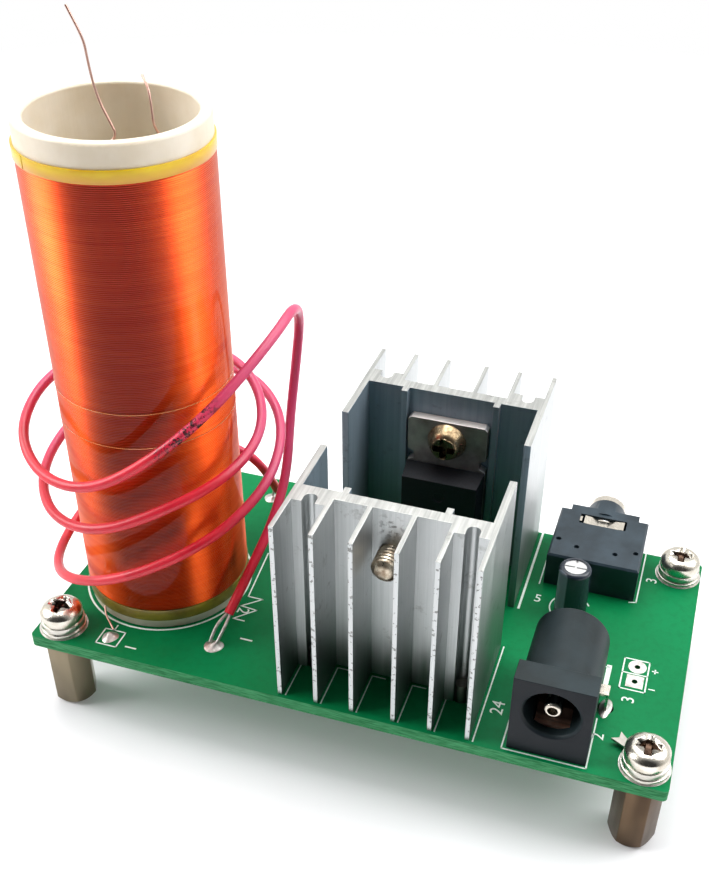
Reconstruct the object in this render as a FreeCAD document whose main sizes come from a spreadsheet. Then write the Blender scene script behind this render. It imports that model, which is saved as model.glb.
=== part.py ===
import FreeCAD
import Part
import Sketcher
import math
import os
import re

# Desktop resonant transformer: a small printed board on four posts that carries an upright
# air-cored coil, three loose primary turns, two finned heat sinks with their transistors, a
# power socket and an audio socket. Lengths are in millimetres.
# The origin is on the table, under the middle of the object. X runs along the front edge of
# the board to the right, Y to the back and Z up.

SIZES = {
    # Printed board
    "front_margin": 0.43,
    "rear_margin": 0.29,
    "right_margin": 7.93,
    "board_thickness": 1.6,
    "board_corner_radius": 0.6,
    "hole_inset": 3.0,
    "mounting_hole": 3.2,
    "lead_clearance": 0.15,
    "lead_tail": 1.0,
    # Posts, screws and washers at the four corners
    "standoff_height": 10.0,
    "standoff_flats": 4.8,
    "standoff_chamfer": 0.6,
    "thread_diameter": 3.0,
    "thread_root": 2.5,
    "thread_clearance": 0.05,
    "screw_length": 7.5,
    "screw_point": 0.5,
    "head_diameter": 5.1,
    "head_height": 2.0,
    "head_rim": 1.2,
    "recess_span": 3.0,
    "recess_width": 0.9,
    "recess_depth": 1.0,
    "washer_diameter": 5.6,
    "washer_thickness": 0.5,
    "spring_washer_diameter": 5.3,
    "spring_washer_bore": 3.3,
    "spring_washer_thickness": 0.9,
    "spring_washer_gap": 0.7,
    "tag_neck": 0.9,
    "tag_reach": 4.6,
    "tag_spread": 1.6,
    "tag_fork": 0.5,
    "tag_thickness": 0.3,
    # Upright coil on its tube
    "coil_from_left": 11.33,
    "coil_from_front": 15.8,
    "tube_diameter": 20.0,
    "tube_wall": 1.3,
    "tube_height": 61.2,
    "tube_rim_rounding": 0.3,
    "bare_foot": 1.2,
    "bare_rim": 2.5,
    "bottom_tape_width": 1.6,
    "top_tape_width": 1.4,
    "winding_thickness": 0.15,
    "tape_thickness": 0.2,
    "fine_wire": 0.24,
    "wire_hole": 0.5,
    "spark_wire_rise": 11.0,
    "short_wire_rise": 4.0,
    "coil_pad_from_left": 9.47,
    "coil_pad_from_front": 2.77,
    "coil_pad_size": 2.0,
    # Loose primary winding of insulated wire
    "primary_wire": 1.2,
    "bare_strand": 0.4,
    "front_pad_from_left": 22.16,
    "front_pad_from_front": 5.28,
    "rear_pad_from_left": 17.72,
    "rear_pad_from_rear": 4.49,
    "solder_dome": 2.3,
    "solder_dome_height": 0.6,
    # Heat sinks, cut from one extruded bar
    "coil_to_sink_gap": 11.17,
    "sinks_gap": 7.28,
    "sink_width": 23.1,
    "sink_height": 25.0,
    "sink_base": 1.5,
    "fin_length": 6.6,
    "fin_thickness": 0.55,
    "inner_fin_offset": 2.5,
    "middle_fin_offset": 6.85,
    "channel_depth": 7.9,
    "channel_wall": 0.85,
    "locating_rib_offset": 5.8,
    "locating_rib_width": 0.8,
    "locating_rib_height": 1.0,
    "pin_land": 1.4,
    "pin_slot": 1.5,
    "pin_slot_depth": 1.6,
    "sink_pin_grip": 2.5,
    # Power transistors
    "tab_width": 10.2,
    "tab_thickness": 1.3,
    "tab_top": 21.7,
    "tab_hole": 3.6,
    "tab_hole_height": 18.9,
    "tab_corner": 0.4,
    "tab_notch": 0.8,
    "tab_notch_height": 1.4,
    "case_bottom": 6.0,
    "case_top": 15.15,
    "case_thickness": 4.45,
    "case_draft": 0.25,
    "case_dimple": 1.4,
    "case_dimple_depth": 0.12,
    "lead_pitch": 2.54,
    "lead_width": 0.8,
    "lead_thickness": 0.5,
    "lead_shoulder_width": 1.35,
    "lead_shoulder_height": 3.4,
    "lead_setback": 2.5,
    "transistor_screw_length": 6.0,
    "transistor_head": 5.0,
    "transistor_head_height": 1.9,
    "transistor_head_rim": 0.9,
    # Power socket
    "power_offset": 0.08,
    "power_from_front": 0.8,
    "flange_width": 9.0,
    "flange_depth": 3.05,
    "flange_height": 11.0,
    "barrel_width": 8.7,
    "barrel_top": 10.6,
    "power_length": 14.0,
    "barrel_chamfer": 0.7,
    "power_bore": 6.3,
    "power_bore_height": 6.5,
    "power_bore_depth": 9.8,
    "power_pin": 2.0,
    "power_pin_setback": 0.8,
    "power_pin_hollow": 1.2,
    "power_pin_hollow_depth": 2.5,
    "power_tail_width": 2.0,
    "power_tail_thickness": 0.4,
    "leaf_width": 4.0,
    "leaf_thickness": 0.3,
    "leaf_side_clearance": 0.2,
    "leaf_slot_floor": 1.8,
    "leaf_slot_lip": 1.4,
    "leaf_slot_depth": 11.9,
    "leaf_tip_depth": 1.9,
    "leaf_tip_height": 2.9,
    "leaf_crest_depth": 4.5,
    "leaf_crest_height": 4.1,
    "leaf_root_height": 2.6,
    "leaf_lip": 0.9,
    "bore_lead_in": 0.3,
    "contact_gap": 0.3,
    "switch_from_front": 9.4,
    "switch_width": 1.6,
    "switch_reach": 5.4,
    "switch_height": 2.9,
    "switch_seat": 3.4,
    # Audio socket
    "sink_to_socket_gap": 2.67,
    "audio_rear_overhang": 0.3,
    "audio_width": 11.8,
    "audio_length": 10.6,
    "audio_height": 5.0,
    "audio_edge_rounding": 0.25,
    "nose_width": 9.1,
    "nose_length": 0.95,
    "sleeve_diameter": 5.2,
    "sleeve_length": 3.1,
    "audio_bore": 3.6,
    "audio_bore_relief": 0.4,
    "audio_bore_height": 2.6,
    "audio_bore_depth": 13.6,
    "bush_wall": 0.4,
    "bush_flange": 1.0,
    "spring_cavity_inner": 1.0,
    "spring_cavity_outer": 5.1,
    "spring_cavity_front": 0.9,
    "tip_cavity_back": 8.3,
    "ring_cavity_back": 7.6,
    "spring_cavity_top": 4.2,
    "spring_thickness": 0.2,
    "spring_bottom": 1.1,
    "spring_top": 3.8,
    "terminal_width": 1.0,
    "terminal_thickness": 0.3,
    "terminal_offset": 3.7,
    "tip_spring_run": 5.1,
    "tip_spring_swing": 2.35,
    "ring_spring_run": 4.3,
    "ring_spring_swing": 2.3,
    "window_width": 6.2,
    "window_length": 2.0,
    "window_from_front": 8.8,
    "ground_spring_width": 1.7,
    "ground_spring_height": 4.85,
    "ground_spring_dip": 0.5,
    "pit_diameter": 0.7,
    "pit_depth": 0.45,
    "inner_pit_offset": 2.5,
    "outer_pit_offset": 5.05,
    "inner_pit_from_front": 2.55,
    "outer_pit_from_front": 3.55,
    # Electrolytic capacitor
    "capacitor_offset": 1.67,
    "capacitor_to_socket": 4.0,
    "capacitor_diameter": 4.1,
    "capacitor_height": 7.0,
    "capacitor_stand": 0.2,
    "sleeve_film": 0.1,
    "sleeve_curl": 0.1,
    "can_rounding": 0.45,
    "can_wall": 0.25,
    "crimp_height": 1.1,
    "crimp_depth": 0.2,
    "bung_height": 0.9,
    "vent_width": 0.25,
    "vent_depth": 0.15,
    "capacitor_pitch": 1.5,
    "capacitor_lead": 0.5,
    # Empty two-way header place
    "header_from_right": 5.8,
    "header_from_front": 16.7,
    "header_pitch": 2.54,
    "header_hole": 1.0,
    # Solder on the underside
    "solder_spread": 0.6,
    "solder_height": 0.8,
    "solder_tip": 0.12,
    # Small parts under the board
    "resistor_length": 3.2,
    "resistor_width": 1.6,
    "resistor_height": 0.6,
    "resistor_end": 0.45,
    "resistor_spacing": 3.4,
    "resistor_from_left": 31.0,
    "resistor_from_front": 17.0,
    "diode_length": 4.3,
    "diode_width": 2.6,
    "diode_height": 2.1,
    "diode_tab_length": 0.8,
    "diode_tab_width": 1.4,
    "diode_tab_height": 0.9,
    "diode_from_left": 52.0,
    "diode_from_front": 20.0,
    # One overrun that lets every cut pass cleanly out of its piece
    "overrun": 1.0,
}

doc = FreeCAD.newDocument("resonant_transformer")
sheet = doc.addObject("Spreadsheet::Sheet", "Sizes")
for row, (alias, number) in enumerate(SIZES.items(), start=1):
    sheet.set("A%d" % row, alias)
    sheet.set("B%d" % row, str(number))
    sheet.setAlias("B%d" % row, alias)
doc.recompute()

# Places that many pieces share, written as sums of the sizes above.
# The board is as long and as wide as what stands on it needs: along it the coil, the heat
# sinks and the sockets, and across it the two heat sinks, back to back.
SINK_DEPTH = "(fin_length + sink_base + channel_depth)"
SINK_FROM_LEFT = "(coil_from_left + tube_diameter / 2 + coil_to_sink_gap + sink_width / 2)"
SOCKET_FROM_LEFT = "(%s + sink_width / 2 + sink_to_socket_gap + audio_width / 2)" % SINK_FROM_LEFT
BOARD_LENGTH = "(%s + audio_width / 2 + right_margin)" % SOCKET_FROM_LEFT
BOARD_WIDTH = "(front_margin + 2 * %s + sinks_gap + rear_margin)" % SINK_DEPTH
LEFT = "-%s / 2" % BOARD_LENGTH
AUDIO_REACH = "(audio_rear_overhang + nose_length + sleeve_length)"
FRONT = "-(%s + %s) / 2" % (BOARD_WIDTH, AUDIO_REACH)
BOARD_MIDDLE = "-%s / 2" % AUDIO_REACH
DECK = "standoff_height + board_thickness"
COIL_X = "%s + coil_from_left" % LEFT
COIL_Y = "%s + coil_from_front" % FRONT
SINK_X = "%s + %s" % (LEFT, SINK_FROM_LEFT)
FRONT_FACE = "%s + front_margin + fin_length + sink_base" % FRONT
REAR_FACE = "%s + %s - rear_margin - fin_length - sink_base" % (FRONT, BOARD_WIDTH)

NODES = []
LEADS = []

# How close to a place an edge's spots must be to be picked, as a share of the overrun.
pick_share = 0.05


def bound(text):
    """Write a sum of sizes so that an object outside the sheet can read it."""
    return re.sub(r"[a-z][a-z0-9_]*", lambda word: "Sizes." + word.group(0)
                  if word.group(0) in SIZES else word.group(0), text)


def value(text):
    """The number that a sum of sizes gives now."""
    return float(sheet.evalExpression(text))


def vector(x, y, z):
    return FreeCAD.Vector(x, y, z)


def place(piece, x, y, z, turned=False):
    """Seat a piece at sums of sizes, facing the back if it is turned."""
    if turned:
        piece.Placement = FreeCAD.Placement(vector(0, 0, 0), FreeCAD.Rotation(180, 0, 0))
    piece.setExpression("Placement.Base.x", bound(x))
    piece.setExpression("Placement.Base.y", bound(y))
    piece.setExpression("Placement.Base.z", bound(z))


def node(piece, label):
    """Name a finished sub-part and list it for the hand-over."""
    piece.Label = label
    NODES.append(piece)
    return piece


def new_body(label, x, y, z, turned=False):
    body = doc.addObject("PartDesign::Body", "Body_" + label)
    place(body, x, y, z, turned)
    return node(body, label)


def origin_feature(body, role):
    return [feature for feature in body.Origin.OriginFeatures if feature.Role == role][0]


def sketch_on(body, role, lift="0"):
    """A sketch on one of the body's own planes, moved along that plane's axis by lift."""
    sketch = body.newObject("Sketcher::SketchObject", "Sketch")
    sketch.AttachmentSupport = [(origin_feature(body, role), "")]
    sketch.MapMode = "FlatFace"
    if role == "XZ_Plane":
        lift = "-(%s)" % lift
    sketch.setExpression("AttachmentOffset.Base.z", bound(lift))
    return sketch


def tie_point(sketch, geometry, end, x, y):
    """Hold one point of a sketch at two sums of sizes."""
    indices = sketch.addConstraint([
        Sketcher.Constraint("DistanceX", -1, 1, geometry, end, value(x)),
        Sketcher.Constraint("DistanceY", -1, 1, geometry, end, value(y)),
    ])
    sketch.setExpression("Constraints[%d]" % indices[0], bound(x))
    sketch.setExpression("Constraints[%d]" % indices[1], bound(y))


def polygon(sketch, points):
    """A closed outline through points that are pairs of sums.

    A point with a third sum starts an arc of that radius, which bulges to the right of the way on.
    """
    first = sketch.GeometryCount
    count = len(points)
    spots = [vector(value(point[0]), value(point[1]), 0) for point in points]
    pieces = []
    for k, point in enumerate(points):
        after = spots[(k + 1) % count]
        if len(point) == 3:
            pieces.append(Part.Arc(spots[k], bulge_middle(spots[k], after, value(point[2])), after))
        else:
            pieces.append(Part.LineSegment(spots[k], after))
    sketch.addGeometry(pieces, False)
    joins = [Sketcher.Constraint("Coincident", first + k, 2, first + (k + 1) % count, 1) for k in range(count)]
    sketch.addConstraint(joins)
    for k, point in enumerate(points):
        tie_point(sketch, first + k, 1, point[0], point[1])
        if len(point) == 3:
            index = sketch.addConstraint(Sketcher.Constraint("Radius", first + k, value(point[2])))
            sketch.setExpression("Constraints[%d]" % index, bound(point[2]))


def bulge_middle(start, end, radius):
    """The middle of the short arc from start to end whose centre is on the left."""
    chord = end - start
    middle = (start + end) / 2
    right = vector(chord.y, -chord.x, 0).normalize()
    half = chord.Length / 2
    return middle + right * (radius - math.sqrt(radius * radius - half * half))


def rectangle(sketch, low_x, high_x, low_y, high_y):
    polygon(sketch, [(low_x, low_y), (high_x, low_y), (high_x, high_y), (low_x, high_y)])


def circle(sketch, x, y, diameter):
    centre = vector(value(x), value(y), 0)
    ring = sketch.addGeometry(Part.Circle(centre, vector(0, 0, 1), value(diameter) / 2), False)
    tie_point(sketch, ring, 3, x, y)
    index = sketch.addConstraint(Sketcher.Constraint("Diameter", ring, value(diameter)))
    sketch.setExpression("Constraints[%d]" % index, bound(diameter))


def plane_of(sketch):
    return sketch.AttachmentSupport[0][0].Role


def pad(body, sketch, length, positive=True):
    """Add a prism from a sketch, towards the positive side of the plane's axis or away from it."""
    feature = body.newObject("PartDesign::Pad", "Pad")
    feature.Profile = sketch
    feature.setExpression("Length", bound(length))
    feature.Reversed = (plane_of(sketch) == "XZ_Plane") == positive
    body.Tip = feature
    return feature


def pocket(body, sketch, length, positive=True):
    """Cut a prism from a sketch, and make sure that it took something away."""
    doc.recompute()
    before = body.Shape.Volume
    feature = body.newObject("PartDesign::Pocket", "Pocket")
    feature.Profile = sketch
    feature.setExpression("Length", bound(length))
    feature.Reversed = (plane_of(sketch) != "XZ_Plane") == positive
    body.Tip = feature
    doc.recompute()
    if not body.Shape.Volume < before:
        raise RuntimeError("a pocket in %s cuts nothing" % body.Label)
    return feature


def revolve(body, sketch):
    """Turn a sketch once round its own upright axis."""
    feature = body.newObject("PartDesign::Revolution", "Revolution")
    feature.Profile = sketch
    feature.ReferenceAxis = (sketch, ["V_Axis"])
    feature.Angle = 360
    body.Tip = feature
    return feature


def groove(body, sketch):
    """Cut a turned groove, and make sure that it took something away."""
    doc.recompute()
    before = body.Shape.Volume
    feature = body.newObject("PartDesign::Groove", "Groove")
    feature.Profile = sketch
    feature.ReferenceAxis = (sketch, ["V_Axis"])
    feature.Angle = 360
    body.Tip = feature
    doc.recompute()
    if not body.Shape.Volume < before:
        raise RuntimeError("a groove in %s cuts nothing" % body.Label)
    return feature


def near(number, text):
    """Whether a number is, to a small part of the overrun, what a sum of sizes gives."""
    return abs(number - value(text)) < value("overrun") * pick_share


def edges_where(feature, test):
    """Names of the edges whose two ends and middle all pass a test."""
    names = []
    for index, edge in enumerate(feature.Shape.Edges, start=1):
        middle = edge.valueAt((edge.FirstParameter + edge.LastParameter) / 2)
        spots = [vertex.Point for vertex in edge.Vertexes] + [middle]
        if all(test(spot) for spot in spots):
            names.append("Edge%d" % index)
    return names


def dress(body, kind, test, size):
    """A fillet or chamfer on the edges that pass a test."""
    doc.recompute()
    base = body.Tip
    feature = body.newObject("PartDesign::" + kind, kind)
    feature.Base = (base, edges_where(base, test))
    feature.setExpression("Radius" if kind == "Fillet" else "Size", bound(size))
    body.Tip = feature
    return feature


def repeat(body, length_x, length_y):
    """Copy everything in a body along two ways at right angles."""
    pattern = body.newObject("PartDesign::LinearPattern", "LinearPattern")
    pattern.TransformMode = "Whole shape"
    pattern.Direction = (origin_feature(body, "X_Axis"), [""])
    pattern.Direction2 = (origin_feature(body, "Y_Axis"), [""])
    pattern.setExpression("Length", bound(length_x))
    pattern.setExpression("Length2", bound(length_y))
    pattern.Occurrences = 2
    pattern.Occurrences2 = 2
    body.Tip = pattern


def corner_body(label, z):
    """A body whose work is done at the front left mounting hole."""
    return new_body(label, LEFT + " + hole_inset", FRONT + " + hole_inset", z)


def to_four_corners(body):
    repeat(body, BOARD_LENGTH + " - 2 * hole_inset", BOARD_WIDTH + " - 2 * hole_inset")


def lead(x, y, radius):
    """Note a lead that goes through the board, for its hole and its solder."""
    LEADS.append((x, y, radius))


def turned_profile(body, points):
    """A solid of revolution from pairs of radius and height."""
    sketch = sketch_on(body, "XZ_Plane")
    polygon(sketch, points)
    return revolve(body, sketch)


# Shape of the screws' heads, as shares of the head's width, and the recess's taper in degrees.
head_flat_share = 0.56
crown_radius_share = 0.3
RECESS_TAPER = -8


def screw_profile(length, head, height, rim):
    """Half the outline of a pan-head screw, with its seat at height zero."""
    shank = "(thread_diameter / 2 - thread_clearance)"
    return [
        ("0", "-(%s)" % length),
        ("%s - screw_point" % shank, "-(%s)" % length),
        (shank, "screw_point - (%s)" % length),
        (shank, "0"),
        ("%s / 2" % head, "0"),
        ("%s / 2" % head, rim, "%s * %s" % (head, crown_radius_share)),
        ("%s / 2 * %s" % (head, head_flat_share), height),
        ("0", height),
    ]


def cross_outline(span, width):
    """The plus-shaped outline of a cross recess, one arm after the other."""
    far = "%s / 2" % span
    near = "%s / 2" % width
    return [
        (far, near), (near, near), (near, far),
        ("-" + near, far), ("-" + near, near), ("-" + far, near),
        ("-" + far, "-" + near), ("-" + near, "-" + near), ("-" + near, "-" + far),
        (near, "-" + far), (near, "-" + near), (far, "-" + near),
    ]


def cross_recess(body, height):
    """Sink the cross into the top of a screw's head."""
    sketch = sketch_on(body, "XY_Plane", height)
    polygon(sketch, cross_outline("recess_span", "recess_width"))
    feature = pocket(body, sketch, "recess_depth", positive=False)
    feature.TaperAngle = RECESS_TAPER


def make_standoffs():
    """Four hexagonal posts with a threaded bore, turned down a little at both ends.

    The thread is drawn at its root where it is free, and at its full width round the screw.
    """
    body = corner_body("standoffs", "0")
    sketch = sketch_on(body, "XY_Plane")
    half = "standoff_flats / 2"
    corner = "standoff_flats / sqrt(3)"
    polygon(sketch, [
        (corner, "0"), (corner + " / 2", half), ("-" + corner + " / 2", half),
        ("-" + corner, "0"), ("-" + corner + " / 2", "-" + half), (corner + " / 2", "-" + half),
    ])
    circle(sketch, "0", "0", "thread_root")
    pad(body, sketch, "standoff_height")
    threads = sketch_on(body, "XY_Plane", "standoff_height + overrun")
    circle(threads, "0", "0", "thread_diameter")
    grip = "screw_length - spring_washer_thickness - washer_thickness - board_thickness"
    pocket(body, threads, grip + " + screw_point + overrun", positive=False)
    for end, inwards in (("0", "+"), ("standoff_height", "-")):
        sketch = sketch_on(body, "XZ_Plane")
        polygon(sketch, [
            ("standoff_flats / 2 - standoff_chamfer / 3", end),
            ("%s + overrun" % corner, end),
            ("%s + overrun" % corner, "%s %s standoff_chamfer * 3" % (end, inwards)),
        ])
        groove(body, sketch)
    to_four_corners(body)


def make_flat_washers():
    body = corner_body("flat_washers", DECK)
    sketch = sketch_on(body, "XY_Plane")
    circle(sketch, "0", "0", "washer_diameter")
    circle(sketch, "0", "0", "mounting_hole")
    pad(body, sketch, "washer_thickness")
    to_four_corners(body)


def make_spring_washers():
    """Split rings, each cut through on the slant."""
    body = corner_body("spring_washers", DECK + " + washer_thickness")
    sketch = sketch_on(body, "XY_Plane")
    circle(sketch, "0", "0", "spring_washer_diameter")
    circle(sketch, "0", "0", "spring_washer_bore")
    pad(body, sketch, "spring_washer_thickness")
    slit = sketch_on(body, "XZ_Plane")
    low = "-overrun"
    high = "spring_washer_thickness + overrun"
    polygon(slit, [
        ("-spring_washer_gap", low), ("0", low), ("spring_washer_gap", high), ("0", high),
    ])
    pocket(body, slit, "spring_washer_diameter", positive=True)
    to_four_corners(body)


def make_board_screws():
    """Four pan-head screws with a cross recess, down through the washers into the posts."""
    body = corner_body("board_screws", DECK + " + washer_thickness + spring_washer_thickness")
    turned_profile(body, screw_profile("screw_length", "head_diameter", "head_height", "head_rim"))
    cross_recess(body, "head_height")
    to_four_corners(body)


def make_coil_tube():
    """The plain plastic tube, with the two small holes that the top wires come in through."""
    body = new_body("coil_tube", COIL_X, COIL_Y, DECK)
    turned_profile(body, [
        ("tube_diameter / 2 - tube_wall", "0"),
        ("tube_diameter / 2", "0"),
        ("tube_diameter / 2", "tube_height"),
        ("tube_diameter / 2 - tube_wall", "tube_height"),
    ])
    dress(body, "Fillet", lambda spot: near(spot.z, "tube_height"), "tube_rim_rounding")
    sketch = sketch_on(body, "XZ_Plane")
    circle(sketch, "0", "tube_height - bare_rim - top_tape_width / 2", "wire_hole")
    pocket(body, sketch, "tube_diameter / 2 + overrun", positive=False)
    sketch = sketch_on(body, "YZ_Plane")
    circle(sketch, "0", "tube_height - bare_rim - top_tape_width / 2", "wire_hole")
    pocket(body, sketch, "tube_diameter / 2 + overrun", positive=True)


def ring_on_tube(label, low, high, thickness):
    """A layer round the tube between two heights above the board."""
    body = new_body(label, COIL_X, COIL_Y, DECK)
    turned_profile(body, [
        ("tube_diameter / 2", low),
        ("tube_diameter / 2 + %s" % thickness, low),
        ("tube_diameter / 2 + %s" % thickness, high),
        ("tube_diameter / 2", high),
    ])


def make_tube_layers():
    """The fine winding in one layer, held by a turn of tape at each end."""
    tape_top = "tube_height - bare_rim"
    winding_top = "tube_height - bare_rim - top_tape_width"
    winding_foot = "bare_foot + bottom_tape_width"
    ring_on_tube("secondary_winding", winding_foot, winding_top, "winding_thickness")
    ring_on_tube("top_tape", winding_top, tape_top, "tape_thickness")
    ring_on_tube("bottom_tape", "bare_foot", winding_foot, "tape_thickness")


def wire_solid(edges, diameter, start, heading):
    """A round wire swept along a path."""
    ring = Part.Wire([Part.makeCircle(diameter / 2, start, heading)])
    return Part.Wire(edges).makePipeShell([ring], True, False)


# How far an arc reaches into the shorter run beside it.
arc_run_share = 0.45


def rounded_path(points):
    """Straight runs joined by tangent arcs, as large as the two runs at each corner allow."""
    edges = []
    radii = []
    here = points[0]
    for before, corner, after in zip(points, points[1:], points[2:]):
        way_in = (corner - before).normalize()
        way_out = (after - corner).normalize()
        shorter = min((corner - before).Length, (after - corner).Length)
        cut = arc_run_share * shorter
        half_turn = way_in.getAngle(way_out) / 2
        radii.append(cut / math.tan(half_turn))
        leave = corner - way_in * cut
        join = corner + way_out * cut
        middle = corner + (way_out - way_in).normalize() * (radii[-1] / math.cos(half_turn) - radii[-1])
        edges.append(Part.LineSegment(here, leave).toShape())
        edges.append(Part.Arc(leave, middle, join).toShape())
        here = join
    edges.append(Part.LineSegment(here, points[-1]).toShape())
    return edges, radii


def wire_piece(label, solid):
    """A swept wire as a feature of its own, seated at the coil's foot on the board."""
    piece = doc.addObject("Part::Feature", label)
    piece.Shape = solid
    place(piece, COIL_X, COIL_Y, DECK)
    return node(piece, label)


# Thin wires of the coil: across and along in shares of the tube's radius, and the rise
# above the rim in shares of each wire's own rise.
spark_route_shares = [
    (0.0, -0.95, -0.291), (0.0, -0.78, -0.291), (0.2, -0.68, -0.18), (0.389, -0.62, -0.02), (0.321, -0.6, 0.087),
    (0.223, -0.57, 0.231), (0.165, -0.55, 0.389), (0.136, -0.54, 0.558), (0.117, -0.53, 0.716),
    (0.066, -0.53, 0.832), (-0.029, -0.52, 1.0),
]
short_route_shares = [
    (0.95, 0.0, -0.8), (0.78, 0.0, -0.8), (0.7, -0.2, -0.45), (0.646, -0.36, -0.025), (0.609, -0.3, 0.517),
    (0.566, -0.24, 0.838), (0.469, -0.16, 1.07),
]
bottom_route_shares = [(-0.42, -0.955, 0.15), (-0.36, -1.06, 0.1), (-0.27, -1.13, 0.06), (-0.19, -1.2, 0.035)]


def thin_wire(label, shares, rise, foot):
    """One of the coil's thin end wires, bent by hand."""
    radius = value("tube_diameter") / 2
    points = [vector(across * radius, along * radius, foot + up * rise) for across, along, up in shares]
    edges, radii = rounded_path(points)
    solid = wire_solid(edges, value("fine_wire"), points[0], points[1] - points[0])
    wire_piece(label, solid)


def make_thin_wires():
    """The spark wire, its short neighbour, and the wire to the square pad."""
    rim = value("tube_height")
    thin_wire("discharge_wire", spark_route_shares, value("spark_wire_rise"), rim)
    thin_wire("short_wire", short_route_shares, value("short_wire_rise"), rim)
    thin_wire("secondary_lead", bottom_route_shares, value("tube_diameter") / 2, 0.0)


# Route of the primary wire, from the front pad round the tube three times to the rear pad.
# The points of both leads and the turns' radii and heights are read by eye from the real
# winding, which is wound by hand and stands loose. Heights are above the table.
LEAD_IN = [(-16.0, -13.8, 14.5), (-14.9, -9.6, 18.0), (-13.7, -4.2, 22.2), (-13.4, 0.3, 26.7),
           (-14.5, 4.7, 32.0), (-14.5, 7.3, 38.5), (-13.6, 6.9, 45.0), (-12.2, 2.2, 49.6),
           (-12.2, -4.3, 48.8)]
LEAD_OUT = [(-22.6, 8.5, 22.5), (-20.4, 9.9, 18.8), (-20.0, 12.0, 14.4)]
COIL_AXIS = (-27.67, -6.38)
FIRST_TURN_ANGLE = -30.0
TURN_STEP = 30.0
TURN_RADII = [13.7, 13.7, 14.0, 14.4, 14.7, 14.0, 13.5, 13.3, 13.2, 13.0, 12.9,
              13.4, 13.9, 14.0, 14.2, 13.8, 13.4, 13.6, 14.3, 15.1, 15.4, 15.4, 15.4,
              14.8, 13.8, 13.7, 13.9, 13.7, 13.5, 13.6, 14.0, 13.6, 13.7]
TURN_HEIGHTS = [43.2, 39.0, 35.2, 34.4, 36.0, 38.1, 39.0, 38.3, 36.7, 35.6, 35.5,
                35.6, 34.8, 32.9, 29.7, 28.3, 28.7, 29.5, 31.9, 36.0, 39.3, 39.1, 35.8,
                30.8, 27.8, 25.3, 22.2, 19.0, 16.3, 16.0, 19.0, 23.2, 24.4]
STEPS_PER_QUARTER = 3


def turn_points():
    """The points of the three turns, a twelfth of a turn apart."""
    points = []
    for step, (radius, height) in enumerate(zip(TURN_RADII, TURN_HEIGHTS)):
        angle = math.radians(FIRST_TURN_ANGLE - TURN_STEP * step)
        points.append(vector(COIL_AXIS[0] + radius * math.cos(angle), COIL_AXIS[1] + radius * math.sin(angle),
                             height))
    return points


def arc_middle(start, way, end):
    """The middle of the arc that leaves start along way and ends at end."""
    chord = end - start
    length = chord.Length
    along = vector(chord.x, chord.y, chord.z).normalize()
    across = (way - along * way.dot(along)).normalize()
    return (start + end) / 2 + across * (length / 2 * math.tan(way.getAngle(along) / 2))


def biarc(start, way_in, end, way_out):
    """Two arcs that meet smoothly between two points with given ways."""
    gap = end - start
    ways = way_in + way_out
    spread = 2 * (1 - way_in.dot(way_out))
    reach = (math.sqrt(gap.dot(ways) ** 2 + spread * gap.dot(gap)) - gap.dot(ways)) / spread
    joint = (start + end + (way_in - way_out) * reach) / 2
    first = Part.Arc(start, arc_middle(start, way_in, joint), joint)
    second = Part.Arc(joint, arc_middle(end, -way_out, joint), end)
    return [first.toShape(), second.toShape()]


def primary_path():
    """Edges of the whole primary wire: lead in, three turns by quarters, lead out."""
    turns = turn_points()
    lead_in = [vector(*point) for point in LEAD_IN] + [turns[0]]
    lead_out = [turns[-1]] + [vector(*point) for point in LEAD_OUT]
    quarters = list(range(0, len(turns), STEPS_PER_QUARTER))
    if quarters[-1] != len(turns) - 1:
        quarters.append(len(turns) - 1)
    ways = [(lead_in[-1] - lead_in[-2]).normalize()]
    for index in quarters[1:-1]:
        ways.append((turns[index + 1] - turns[index - 1]).normalize())
    ways.append((lead_out[1] - lead_out[0]).normalize())
    edges_in, radii_in = rounded_path(lead_in)
    edges_out, radii_out = rounded_path(lead_out)
    edges = list(edges_in)
    for k in range(len(quarters) - 1):
        edges += biarc(turns[quarters[k]], ways[k], turns[quarters[k + 1]], ways[k + 1])
    edges += edges_out
    return edges, radii_in + radii_out


# Spots closer than this many diameters along the wire are the same stretch of it.
NEIGHBOUR_SPOTS = 12


def least_gap(edges, diameter):
    """The least free space between stretches of a wire that aren't neighbours along it."""
    spots = []
    for edge in edges:
        count = max(2, int(edge.Length / diameter))
        spots += [edge.valueAt(edge.getParameterByLength(edge.Length * k / count)) for k in range(count)]
    least = min((a - b).Length for k, a in enumerate(spots) for b in spots[k + NEIGHBOUR_SPOTS:])
    return least - diameter


def make_primary_winding():
    """The whole insulated wire as one tube."""
    edges, radii = primary_path()
    diameter = value("primary_wire")
    path = Part.Wire(edges)
    start = vector(*LEAD_IN[0])
    heading = vector(*LEAD_IN[1]) - start
    ring = Part.Wire([Part.makeCircle(diameter / 2, start, heading)])
    solid = path.makePipeShell([ring], True, False)
    piece = doc.addObject("Part::Feature", "primary_winding")
    piece.Shape = solid
    piece.Placement = FreeCAD.Placement()
    node(piece, "primary_winding")
    expected = math.pi * diameter ** 2 / 4 * path.Length
    print("primary wire length %.1f, volume %.2f of %.2f" % (path.Length, solid.Volume, expected))
    print("primary wire radii of the leads", " ".join("%.1f" % radius for radius in radii))
    print("primary wire least gap to itself %.2f" % least_gap(edges, diameter))


# Heading of the tag, in degrees from the X axis.
TAG_TURN = 143


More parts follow.
